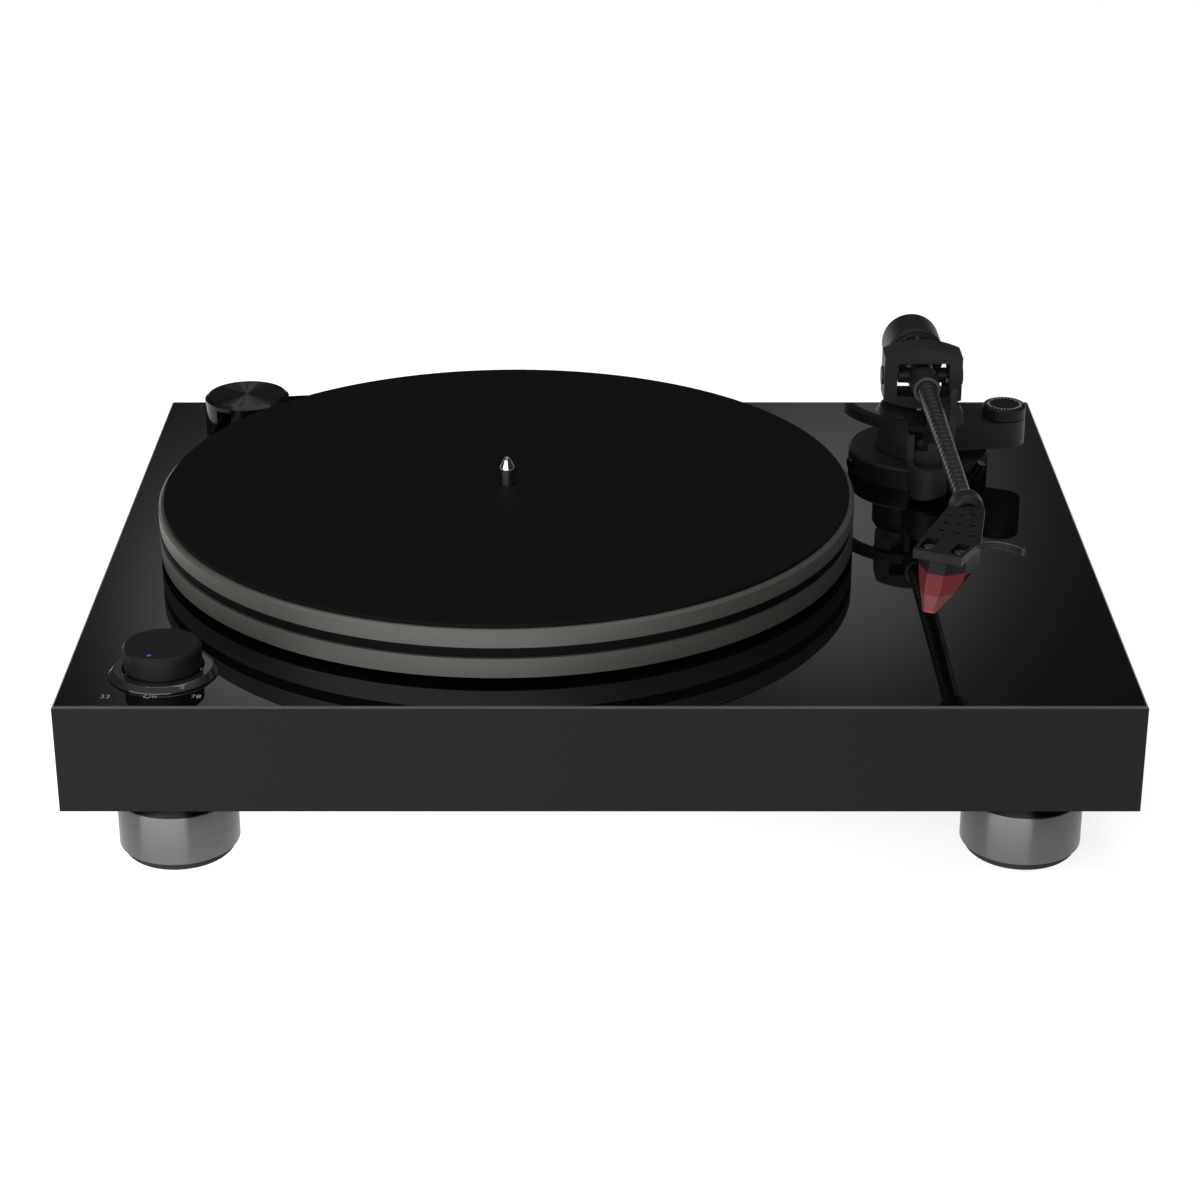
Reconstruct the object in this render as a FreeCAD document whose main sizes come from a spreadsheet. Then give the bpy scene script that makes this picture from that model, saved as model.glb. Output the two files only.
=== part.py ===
import FreeCAD, Part
import math
import os
import re
import Sketcher

# Belt-driven record player, in millimetres. +Z is up and the front faces -Y. The origin is on the
# floor under the middle of the plinth. "deck" is the height of the plinth's top face over the floor.
DIMENSIONS = {
    # plinth
    "deck": 73.1, "plinth_width": 420, "plinth_depth": 339, "plinth_height": 45.2, "edge_bevel": 0.8,
    "deck_thickness": 12, "wall_thickness": 18, "ledge": 6, "cover_thickness": 3, "cover_gap": 0.2,
    "block_width": 48, "block_depth": 10.5,
    # feet
    "foot_x": 167.7, "foot_y": 145.5, "foot_radius": 23.9, "pad_radius": 22, "pad_step": 3.7,
    "foot_top": 24.5, "neck_radius": 13, "bolt_radius": 2.5, "bolt_top": 44.9,
    # platter
    "platter_x": -40.1, "platter_y": 0, "platter_radius": 149.8, "platter_lift": 2.8,
    "platter_thick": 20.1, "groove_radius": 147.8, "groove_low": 8.1, "groove_high": 12.74,
    "mat_radius": 147.56, "mat_thick": 1.64, "hub_radius": 12, "flange_radius": 30, "flange_thick": 3.9,
    "axle_radius": 5, "spindle_radius": 3.575, "spindle_shoulder": 31.5, "spindle_tip": 36.8,
    # rear socket panel
    "panel_left": 92, "panel_right": 168,
    # main bearing
    "bearing_radius": 9, "bearing_drop": 40, "bearing_flange": 20, "ball_radius": 2.5, "run_fit": 0.05,
    # motor and belt
    "motor_x": -167.3, "motor_y": 125.5, "motor_radius": 14, "motor_height": 22, "motor_plate_thick": 2,
    "motor_axle": 1, "pulley_radius": 7, "pulley_flange": 8.5, "pulley_base": 5, "belt_gap": 0.3,
    "belt_thick": 0.8, "belt_low": 11.2, "belt_high": 15.2, "cap_radius": 19.75, "cap_inner": 18,
    "cap_top": 20, "gasket_radius": 20.3, "gasket_thick": 0.8, "window_low": 5, "window_high": 17,
    # speed selector
    "knob_x": -171.2, "knob_y": -137.8, "knob_radius": 15.4, "knob_gap": 0.6, "knob_height": 11.4,
    "knob_ring_radius": 21.7, "knob_ring_inner": 16, "knob_ring_height": 2.6, "knob_axle": 3,
    "switch_radius": 9.5, "switch_height": 14,
    # tonearm stand
    "arm_x": 147, "arm_y": 83.5, "base_radius": 32, "base_height": 10, "stem_radius": 14,
    "stem_bore": 12.05, "pillar_stem": 12, "pillar_radius": 20, "pillar_low": 10.4, "pillar_top": 29.8,
    "bearing_bore": 7, "arm_spindle_radius": 2.95, "slot_low": 2.2, "slot_high": 6.2,
    # anti-skating arm and dial
    "dial_x": 185, "dial_y": 79.5, "dial_radius": 9.75, "skate_low": 14, "skate_high": 26,
    "dial_top": 32,
    # lifting gear
    "pod_x": 147.1, "pod_y": 41, "pod_radius": 8.5, "pod_low": 4.2, "pod_high": 16.7, "ledge_high": 23.5,
    "lift_radius": 35, "lift_low": 30, "lift_high": 34.5, "lift_pin_x": 144, "lift_pin_y": 60,
    "lift_pin_radius": 1.5, "cue_x": 158, "cue_height": 34.5, "cue_disc_radius": 5.6,
    # gimbal
    "pivot_height": 44.4, "yoke_half": 17.65, "yoke_depth": 7.5, "yoke_low": 30.8, "yoke_high": 59,
    "yoke_arch": 40.9, "window_half": 11.8, "window_reach": 7.9, "window_round": 1.3,
    # arm: how far it drifts sideways and rises for each millimetre ahead of its pivot
    "arm_drift": 0.0058, "arm_rise": 0.0119, "tube_root": 4.45, "tube_end": 3.6, "tube_wall": 0.9,
    "block_radius": 5.8, "collar_radius": 6.9, "stub_radius": 4,
    "nut_near": 160.5, "nut_far": 170.5, "nut_radius": 6.8,
    # counterweight
    "weight_radius": 13.4, "weight_near": 26, "weight_far": 50.4, "bush_radius": 6, "scale_radius": 12.1,
    # headshell and cartridge, measured from the middle of the two cartridge screws
    "head_x": 133.85, "head_y": -128.3, "head_turn": -27, "head_top": 49.5, "head_thick": 3.7,
    "screw_half": 6.35, "cartridge_half": 8.2, "cartridge_low": 36.5, "nose_low": 40.5,
    "stylus_low": 27,
}
SHEET = "Dimensions"
ALIAS = re.compile(r"\b[a-z_]+\b(?!\()")
PLACES = "xyz"
TOWARDS_X = FreeCAD.Rotation(FreeCAD.Vector(0, 1, 0), 90)
TOWARDS_Y = FreeCAD.Rotation(FreeCAD.Vector(1, 0, 0), -90)

doc = FreeCAD.newDocument("RecordPlayer")
sheet = doc.addObject("Spreadsheet::Sheet", SHEET)
for row, (alias, value) in enumerate(DIMENSIONS.items(), 1):
    sheet.set(f"A{row}", alias)
    sheet.set(f"B{row}", str(value))
    sheet.setAlias(f"B{row}", alias)
doc.recompute()
nodes = []


# ---------------------------------------------------------------- ways of making a piece

def size(alias):
    """A driving dimension as a number."""
    return float(sheet.get(alias))


def bind(item, prop, text):
    """Bind a property to an expression over the sheet's aliases."""
    text = str(text)
    item.setExpression(prop, ALIAS.sub(lambda word: f"{SHEET}.{word.group(0)}", text))


def place(item, at, turn=None):
    """Bind an object's position to the sheet, and turn it."""
    if turn:
        item.Placement = FreeCAD.Placement(FreeCAD.Vector(), turn)
    for letter, text in zip(PLACES, at):
        bind(item, "Placement.Base." + letter, text)
    return item


def primitive(kind, name, sizes, at, turn=None):
    """A Part primitive with its sizes and place bound to the sheet."""
    item = doc.addObject("Part::" + kind, name)
    for prop, text in sizes.items():
        bind(item, prop, text)
    return place(item, at, turn)


def rod(name, radius, low, high, x, y):
    """An upright cylinder between two heights."""
    return primitive("Cylinder", name, {"Radius": radius, "Height": f"({high}) - ({low})"}, (x, y, low))


def rod_along_x(name, radius, start, end, y, z):
    return primitive("Cylinder", name, {"Radius": radius, "Height": f"({end}) - ({start})"},
                     (start, y, z), TOWARDS_X)


def rod_along_y(name, radius, start, end, x, z):
    return primitive("Cylinder", name, {"Radius": radius, "Height": f"({end}) - ({start})"},
                     (x, start, z), TOWARDS_Y)


def block(name, x, y, z):
    """A box between two limits on each axis."""
    sizes = {prop: f"({high}) - ({low})" for prop, (low, high) in
             zip(("Length", "Width", "Height"), (x, y, z))}
    return primitive("Box", name, sizes, (x[0], y[0], z[0]))


def sector(name, radius, low, high, x, y, start, sweep):
    """A pie slice of an upright cylinder, from a polar angle through a sweep, in degrees."""
    item = primitive("Cylinder", name, {"Radius": radius, "Height": f"({high}) - ({low})"}, (x, y, low),
                     FreeCAD.Rotation(FreeCAD.Vector(0, 0, 1), start))
    item.Angle = sweep
    return item


def join(name, parts):
    item = doc.addObject("Part::MultiFuse", name)
    item.Shapes = parts
    return item


def cut(name, base, tools):
    item = doc.addObject("Part::Cut", name)
    item.Base = base
    item.Tool = tools[0] if len(tools) == 1 else join(name + "_tools", tools)
    return item


def overlap(name, parts):
    item = doc.addObject("Part::MultiCommon", name)
    item.Shapes = parts
    return item


def group(name, parts):
    """Several separate solids that share one node."""
    item = doc.addObject("Part::Compound", name)
    item.Links = parts
    return item


def mirrored(name, source, normal):
    item = doc.addObject("Part::Mirroring", name)
    item.Source = source
    item.Normal = FreeCAD.Vector(*normal)
    return item


def four_corners(name, source):
    """The source and its copies in the other three corners of the plinth."""
    pair = group(name + "_pair", [source, mirrored(name + "_right", source, (1, 0, 0))])
    return group(name, [pair, mirrored(name + "_rear", pair, (0, 1, 0))])


def outlined_body(name, plane, outline):
    """A PartDesign body with a closed sketch whose corners are bound to the sheet."""
    body = doc.addObject("PartDesign::Body", name)
    sketch = body.newObject("Sketcher::SketchObject", name + "_outline")
    support = [item for item in body.Origin.OriginFeatures if item.Role == plane][0]
    sketch.AttachmentSupport = [(support, "")]
    sketch.MapMode = "FlatFace"
    count = len(outline)
    starts = [FreeCAD.Vector(9 + 5 * math.cos(math.tau * i / count), 9 + 5 * math.sin(math.tau * i / count))
              for i in range(count)]
    for i in range(count):
        sketch.addGeometry(Part.LineSegment(starts[i], starts[(i + 1) % count]), False)
    for i in range(count):
        sketch.addConstraint(Sketcher.Constraint("Coincident", i, 2, (i + 1) % count, 1))
    for i, corner in enumerate(outline):
        for letter, value, text in zip("XY", starts[i], corner):
            index = sketch.addConstraint(Sketcher.Constraint("Distance" + letter, -1, 1, i, 1, value))
            bind(sketch, f"Constraints[{index}]", text)
    return body, sketch


def turned(name, outline, at):
    """A piece turned on a lathe: an outline of (radius, height) corners spun about +Z at a place."""
    body, sketch = outlined_body(name, "XZ_Plane", outline)
    spin = body.newObject("PartDesign::Revolution", name + "_spin")
    spin.Profile = sketch
    spin.ReferenceAxis = (sketch, ["V_Axis"])
    spin.Angle = 360
    return place(body, at)


def plate(name, outline, thick, at, turn=None):
    """A flat piece: an outline of (x, y) corners padded upwards from a place."""
    body, sketch = outlined_body(name, "XY_Plane", outline)
    pad = body.newObject("PartDesign::Pad", name + "_pad")
    pad.Profile = sketch
    bind(pad, "Length", thick)
    return place(body, at, turn)


def built(name, shape, at=(0, 0, 0), turn=None):
    """A shape that no parametric feature makes, worked out from the sheet's numbers."""
    item = doc.addObject("Part::Feature", name)
    item.Shape = shape
    place(item, at, turn)
    return item


def node(name, item):
    """Name a finished piece; its file has the same name."""
    item.Label = name
    nodes.append((name, item))
    return item


def round_polyline(points):
    """Straight runs joined by tangent arcs, each as large as its two runs allow."""
    share = 0.45
    points = [FreeCAD.Vector(*point) for point in points]
    edges = []
    start = points[0]
    for before, corner, after in zip(points, points[1:], points[2:]):
        back, ahead = (before - corner), (after - corner)
        reach = share * min(back.Length, ahead.Length)
        back.normalize()
        ahead.normalize()
        middle = (back + ahead)
        middle.normalize()
        half = math.acos(max(-1, min(1, back.dot(ahead)))) / 2
        radius = reach * math.tan(half)
        enter, leave = corner + back * reach, corner + ahead * reach
        top = corner + middle * (radius / math.sin(half) - radius)
        edges += [Part.LineSegment(start, enter).toShape(), Part.Arc(enter, top, leave).toShape()]
        start = leave
    edges.append(Part.LineSegment(start, points[-1]).toShape())
    return Part.Wire(edges)


def lead(points, radius):
    """A round wire along a route."""
    spine = round_polyline(points)
    first = spine.Edges[0]
    direction = first.tangentAt(first.FirstParameter)
    ring = Part.Wire([Part.Circle(spine.Edges[0].Vertexes[0].Point, direction, radius).toShape()])
    return spine.makePipeShell([ring], True, True)


# ---------------------------------------------------------------- plinth and feet

def make_plinth():
    half_x, half_y = "plinth_width / 2", "plinth_depth / 2"
    underside = "deck - plinth_height"
    outer = block("plinth_outer", (f"-{half_x}", half_x), (f"-{half_y}", half_y),
                  (underside, "deck - edge_bevel"))
    bevel = doc.addObject("Part::Wedge", "plinth_bevel")
    limits = {"Xmin": f"-{half_x}", "Xmax": half_x, "Ymin": 0, "Ymax": "edge_bevel",
              "Zmin": f"-{half_y}", "Zmax": half_y,
              "X2min": f"edge_bevel - {half_x}", "X2max": f"{half_x} - edge_bevel",
              "Z2min": f"edge_bevel - {half_y}", "Z2max": f"{half_y} - edge_bevel"}
    for prop, text in limits.items():
        bind(bevel, prop, text)
    place(bevel, (0, 0, "deck - edge_bevel"), FreeCAD.Rotation(FreeCAD.Vector(1, 0, 0), 90))
    inner_x, inner_y = f"({half_x} - wall_thickness)", f"({half_y} - wall_thickness)"
    roof = "deck - deck_thickness"
    corner = block("corner_block", (f"{inner_x} - block_width", inner_x),
                   (f"{inner_y} - block_depth", inner_y), (underside, roof))
    hollow = cut("plinth_hollow",
                 block("plinth_room", (f"-{inner_x}", inner_x), (f"-{inner_y}", inner_y),
                       (underside, roof)),
                 [four_corners("corner_blocks", corner)])
    rabbet = block("cover_rabbet", (f"-({inner_x} + ledge)", f"{inner_x} + ledge"),
                   (f"-({inner_y} + ledge)", f"{inner_y} + ledge"),
                   (underside, f"{underside} + cover_thickness"))
    holes = [
        rod("bearing_hole", "bearing_radius + cover_gap", roof, "deck", "platter_x", "platter_y"),
        rod("motor_hole", "pulley_flange + 4", roof, "deck", "motor_x", "motor_y"),
        rod("knob_hole", "knob_axle + 0.6", roof, "deck", "knob_x", "knob_y"),
        rod("switch_pocket", "switch_radius + 1", "deck - 30", roof, "knob_x", "knob_y"),
        rod("arm_hole", "stem_radius + cover_gap", roof, "deck", "arm_x", "arm_y"),
        four_corners("bolt_holes", rod("bolt_hole", "bolt_radius", underside, "bolt_top",
                                       "foot_x", "foot_y")),
        block("panel_recess", ("panel_left", "panel_right"), (f"{half_y} - 9.5", half_y),
              ("deck - 34", "deck - 14")),
        block("panel_opening", ("panel_left + 5", "panel_right - 5"), (inner_y, half_y),
              ("deck - 32", "deck - 16")),
    ]
    holes += [screw_hole(name, spot) for name, spot in case_screw_spots().items()]
    holes += [rod(f"pilot_{i}", 1.5, "deck - 16", "deck - 5", x, y)
              for i, (x, y) in enumerate(deck_screw_spots())]
    return cut("plinth_wood", join("plinth_block", [outer, bevel]), [hollow, rabbet] + holes)


def case_screw_spots():
    """Names and places of the screws that hold the bottom cover, on the ledge round the hollow."""
    side, end = "plinth_width / 2 - wall_thickness + 2.5", "plinth_depth / 2 - wall_thickness + 2.5"
    return {"screw_left": (f"-({side})", 0), "screw_right": (side, 0),
            "screw_left_front": (f"-({side})", -90), "screw_right_front": (side, -90),
            "screw_left_rear": (f"-({side})", 90), "screw_right_rear": (side, 90),
            "screw_front": (0, f"-({end})"), "screw_rear": (0, end)}


def screw_hole(name, spot):
    return rod(name + "_pilot", 1.25, "deck - plinth_height", "deck - plinth_height + 14", *spot)


def case_screw(name, spot):
    """A countersunk screw, seen from its head at the underside."""
    profile = [(0, 0), (2.8, 0), (1.25, 1.6), (1.25, 12), (0.4, 13.2), (0, 13.2)]
    return turned(name, profile, (*spot, "deck - plinth_height"))


def make_bottom_cover():
    side = "plinth_width / 2 - wall_thickness + ledge - cover_gap"
    end = "plinth_depth / 2 - wall_thickness + ledge - cover_gap"
    board = block("cover_board", (f"-({side})", side), (f"-({end})", end),
                  ("deck - plinth_height", "deck - plinth_height + cover_thickness"))
    corners = four_corners("neck_holes", rod("neck_hole", "neck_radius - 2", "deck - plinth_height",
                                             "deck - plinth_height + cover_thickness",
                                             "foot_x", "foot_y"))
    sinks = [primitive("Cone", name + "_sink", {"Radius1": 2.8, "Radius2": 1.25, "Height": 1.6},
                       (*spot, "deck - plinth_height")) for name, spot in case_screw_spots().items()]
    bores = [rod(name + "_clear", 1.25, "deck - plinth_height", "deck - plinth_height + cover_thickness",
                 *spot) for name, spot in case_screw_spots().items()]
    return cut("cover_plate", board, [corners] + sinks + bores)


def make_feet():
    place_at = ("foot_x", "foot_y", 0)
    shell = turned("foot_shell", [
        (4.6, 6.2), ("pad_radius + 0.1", 6.2), ("pad_radius + 0.1", "pad_step"),
        ("foot_radius - 0.8", "pad_step"), ("foot_radius", "pad_step + 0.8"),
        ("foot_radius", "foot_top - 0.8"), ("foot_radius - 0.8", "foot_top"), (2.6, "foot_top"),
        (2.6, 10.2), (4.6, 10.2)], place_at)
    pad = turned("foot_pad", [(0, 0), ("pad_radius - 1.2", 0), ("pad_radius", 1.2), ("pad_radius", 6.2),
                              (0, 6.2)], place_at)
    neck_top = "deck - plinth_height + cover_thickness"
    neck = turned("foot_neck", [("bolt_radius", "foot_top"), ("neck_radius", "foot_top"),
                                ("neck_radius", "deck - plinth_height"),
                                ("neck_radius - 2.5", "deck - plinth_height"),
                                ("neck_radius - 2.5", neck_top), ("bolt_radius", neck_top)], place_at)
    bolt = turned("foot_bolt", [(0, 6.2), (4.5, 6.2), (4.5, 10.2), ("bolt_radius", 10.2),
                                ("bolt_radius", "bolt_top"), (0, "bolt_top")], place_at)
    for piece in (shell, pad, neck, bolt):
        label = piece.Name + "s"
        node(label, four_corners(label + "_set", piece))


# ---------------------------------------------------------------- platter and its bearing

def make_platter_group():
    spot = ("platter_x", "platter_y")
    base = "deck + platter_lift"
    hub_screw_angles = [30 + 120 * i for i in range(3)]
    hub_screw_spots = [(f"platter_x + {22 * math.cos(math.radians(a)):.4f}",
                        f"platter_y + {22 * math.sin(math.radians(a)):.4f}") for a in hub_screw_angles]
    disc = turned("platter_disc", [
        ("flange_radius + 0.2", 0), (38, 0), (38, 9.2), (136, 9.2), (136, 0), ("platter_radius", 0),
        ("platter_radius", "groove_low"), ("groove_radius", "groove_low"),
        ("groove_radius", "groove_high"), ("platter_radius", "groove_high"),
        ("platter_radius", "platter_thick - 1"), ("platter_radius - 1", "platter_thick"),
        ("hub_radius", "platter_thick"), ("hub_radius", "flange_thick + 0.1"),
        ("flange_radius + 0.2", "flange_thick + 0.1")], (*spot, base))
    tapped = [rod(f"hub_tap_{i}", 1.4, f"{base} + 4", f"{base} + 9", *where)
              for i, where in enumerate(hub_screw_spots)]
    node("platter", cut("platter_machined", disc, tapped))
    top = f"{base} + platter_thick"
    node("platter_mat", cut("mat", rod("mat_disc", "mat_radius", top, f"{top} + mat_thick", *spot),
                            [rod("mat_hole", "spindle_radius + 0.1", top, f"{top} + mat_thick", *spot)]))
    hub = turned("hub_blank", [("axle_radius", 0), ("flange_radius", 0), ("flange_radius", "flange_thick"),
                               ("hub_radius", "flange_thick"), ("hub_radius", "platter_thick"),
                               ("axle_radius", "platter_thick")], (*spot, base))
    hub_holes = []
    for i, where in enumerate(hub_screw_spots):
        hub_holes.append(rod(f"hub_hole_{i}", 1.4, base, f"{base} + flange_thick", *where))
        hub_holes.append(rod(f"hub_sink_{i}", 2.6, base, f"{base} + 1.8", *where))
    node("spindle_hub", cut("hub_drilled", hub, hub_holes))
    profile = [(0, 0), (2.6, 0), (2.6, 1.8), (1.4, 1.8), (1.4, 8), (0, 8)]
    node("hub_screws", group("hub_screw_set", [turned(f"hub_screw_{i}", profile, (*where, base))
                                               for i, where in enumerate(hub_screw_spots)]))
    low = "deck - bearing_drop + 9.8"
    rise = "bearing_drop - 9.8"
    mat_top = f"{rise} + platter_lift + platter_thick + mat_thick"
    node("spindle", turned("spindle_axle", [
        (0, 0), ("axle_radius", 0), ("axle_radius", f"{rise} + platter_lift + platter_thick"),
        ("spindle_radius - 0.5", f"{rise} + platter_lift + platter_thick"),
        ("spindle_radius - 0.5", f"{mat_top} + 0.1"), ("spindle_radius", f"{mat_top} + 0.1"),
        ("spindle_radius", f"{rise} + spindle_shoulder"), (1.3, f"{rise} + spindle_tip - 0.7"),
        (0.7, f"{rise} + spindle_tip"), (0, f"{rise} + spindle_tip")], (*spot, low)))


def make_bearing():
    spot = ("platter_x", "platter_y")
    roof = "bearing_drop - deck_thickness"
    bore = "axle_radius + run_fit"
    housing = turned("housing_blank", [
        (0, 0), ("bearing_radius", 0), ("bearing_radius", f"{roof} - 4"), ("bearing_flange", f"{roof} - 4"),
        ("bearing_flange", roof), ("bearing_radius", roof), ("bearing_radius", "bearing_drop + 1.3"),
        (bore, "bearing_drop + 1.3"), (bore, 4.5), (0, 4.5)], (*spot, "deck - bearing_drop"))
    holes = [rod(f"flange_hole_{i}", 1.5, "deck - 16", "deck - 12", x, y)
             for i, (x, y) in enumerate(deck_screw_spots()[:3])]
    node("bearing_housing", cut("housing_drilled", housing, holes))
    node("thrust_ball", primitive("Sphere", "ball", {"Radius": "ball_radius"},
                                  (*spot, "deck - bearing_drop + 4.5 + ball_radius")))


def deck_screw_spots():
    """Where the screws under the deck go: three for the main bearing, then two for the motor."""
    spots = [(f"platter_x + {15 * math.cos(math.radians(a)):.4f}",
              f"platter_y + {15 * math.sin(math.radians(a)):.4f}") for a in (90, 210, 330)]
    return spots + [("motor_x - 18.5", "motor_y"), ("motor_x + 18.5", "motor_y")]


def make_deck_screws():
    screws = []
    for i, (x, y) in enumerate(deck_screw_spots()):
        length = 13 if i < 3 else 11
        profile = [(0, 0), (3, 0), (3, 2.2), (1.5, 2.2), (1.5, length), (0, length)]
        screws.append(turned(f"deck_screw_{i}", profile, (x, y, f"deck - 5.2 - {length}")))
    node("deck_screws", group("deck_screw_set", screws))


# ---------------------------------------------------------------- motor, pulley, belt and cap

def make_motor():
    spot = ("motor_x", "motor_y")
    top = "motor_height"
    bore = "motor_axle + run_fit"
    node("motor_body", turned("motor_can", [
        (0, 0), ("motor_radius - 1", 0), ("motor_radius", 1), ("motor_radius", top), (4, top),
        (4, f"{top} + 1.5"), (bore, f"{top} + 1.5"), (bore, 4), (0, 4)],
        (*spot, "deck - deck_thickness - motor_plate_thick - motor_height")))
    level = ("deck - deck_thickness - motor_plate_thick", "deck - deck_thickness")
    strip = block("motor_strip", ("motor_x - 23", "motor_x + 23"), ("motor_y - 13.5", "motor_y + 13.5"),
                  level)
    holes = [rod("motor_nose", 4.1, *level, *spot)]
    holes += [rod(f"strip_hole_{i}", 1.5, *level, x, y) for i, (x, y) in enumerate(deck_screw_spots()[3:])]
    node("motor_plate", cut("motor_mount", strip, holes))
    node("motor_shaft", rod("motor_axle_rod", "motor_axle", "deck - 31", "deck + 17.2", *spot))
    node("motor_pulley", turned("pulley", [
        ("motor_axle", 0), (4, 0), (4, 4.6), ("pulley_flange", 4.6), ("pulley_flange", 5.6),
        ("pulley_radius", 5.9), ("pulley_radius", 10.6), ("pulley_flange", 10.9),
        ("pulley_flange", 11.9), ("motor_axle", 11.9)], (*spot, "deck + pulley_base")))
    inner = "cap_inner"
    node("cap_gasket", turned("gasket", [("cap_inner - 0.5", 0), ("gasket_radius", 0),
                                         ("gasket_radius", "gasket_thick"),
                                         ("cap_inner - 0.5", "gasket_thick")], (*spot, "deck")))
    dome = turned("cap_blank", [
        (inner, "gasket_thick"), ("cap_radius", "gasket_thick"), ("cap_radius", "cap_top - 1.2"),
        ("cap_radius - 1.6", "cap_top"), (0, "cap_top"), (0, "cap_top - 2.2"),
        (inner, "cap_top - 2.2")], (*spot, "deck"))
    # The belt's two runs leave the pulley through these windows, with a post left between them.
    windows = [sector("window_front", "cap_radius + 2", "deck + window_low", "deck + window_high",
                      *spot, -130, 23),
               sector("window_side", "cap_radius + 2", "deck + window_low", "deck + window_high",
                      *spot, -82, 128)]
    rim = [cut(item.Name + "_wall", item, [rod(item.Name + "_core", "cap_inner - 1", "deck", "deck + 30",
                                               *spot)]) for item in windows]
    node("motor_cap", cut("cap_cut", dome, rim))


def make_belt():
    """A flat belt round the platter's groove and the pulley, on tangent lines between them."""
    big = FreeCAD.Vector(size("platter_x"), size("platter_y"), 0)
    small = FreeCAD.Vector(size("motor_x"), size("motor_y"), 0)
    across = small - big
    heading = math.atan2(across.y, across.x)
    faces = []
    for extra in (size("belt_gap"), size("belt_gap") + size("belt_thick")):
        radii = (size("groove_radius") + extra, size("pulley_radius") + extra)
        lean = math.acos((radii[0] - radii[1]) / across.Length)

        def point(centre, radius, angle):
            return centre + FreeCAD.Vector(math.cos(angle), math.sin(angle), 0) * radius
        a, b = point(big, radii[0], heading + lean), point(small, radii[1], heading + lean)
        c, d = point(small, radii[1], heading - lean), point(big, radii[0], heading - lean)
        edges = [Part.LineSegment(a, b), Part.Arc(b, point(small, radii[1], heading), c),
                 Part.LineSegment(c, d), Part.Arc(d, point(big, radii[0], heading + math.pi), a)]
        faces.append(Part.Face(Part.Wire([edge.toShape() for edge in edges])))
    height = FreeCAD.Vector(0, 0, size("belt_high") - size("belt_low"))
    loop = faces[1].cut(faces[0]).extrude(height)
    node("drive_belt", built("belt", loop.Solids[0], (0, 0, "deck + belt_low")))


# ---------------------------------------------------------------- speed selector

def make_speed_selector():
    spot = ("knob_x", "knob_y")
    top = "knob_height"
    node("speed_knob", turned("knob", [
        ("knob_axle", 0), ("knob_radius - 1.1", 0), ("knob_radius - 1.1", 2.4), ("knob_radius", 2.4),
        ("knob_radius", f"{top} - 1"), ("knob_radius - 1", top), (0, top), (0, f"{top} - 3"),
        ("knob_axle", f"{top} - 3")], (*spot, "deck + knob_gap")))
    node("knob_ring", turned("ring", [
        ("knob_ring_inner", 0), ("knob_ring_radius", 0), ("knob_ring_radius", 0.6),
        ("knob_ring_radius - 2.2", "knob_ring_height"), ("knob_ring_inner", "knob_ring_height")],
        (*spot, "deck")))
    node("knob_shaft", rod("knob_rod", "knob_axle", "deck - 22", "deck + knob_gap + knob_height - 3",
                           *spot))
    bore = "knob_axle + run_fit"
    node("rotary_switch", turned("switch", [
        (bore, 0), ("switch_radius", 0), ("switch_radius", "switch_height"), (bore, "switch_height")],
        (*spot, "deck - deck_thickness - switch_height")))


# ---------------------------------------------------------------- electronics and sockets

def make_electronics():
    board_top = "deck - deck_thickness - 8"
    legs = [(x, y) for x in (-146, -74) for y in (-56, -4)]
    board = block("board", (-150, -70), (-60, 0), (f"{board_top} - 1.6", board_top))
    holes = [rod(f"board_hole_{i}", 1.6, f"{board_top} - 1.6", board_top, x, y)
             for i, (x, y) in enumerate(legs)]
    node("circuit_board", cut("board_drilled", board, holes))
    underside = f"{board_top} - 1.6"
    posts = [turned(f"standoff_{i}", [(0, 0), (1.6, 0), (1.6, 1.6), (3, 1.6), (3, 9.6), (0, 9.6)],
                    (x, y, underside)) for i, (x, y) in enumerate(legs)]
    chips = [block("chip", (-118, -104), (-38, -24), (f"{underside} - 2.4", underside)),
             block("regulator", (-92, -82), (-20, -16), (f"{underside} - 9", underside)),
             rod("capacitor_1", 5, f"{underside} - 12", underside, -134, -20),
             rod("capacitor_2", 4, f"{underside} - 10", underside, -134, -42)]
    node("board_parts", group("board_part_set", posts + chips))


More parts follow.
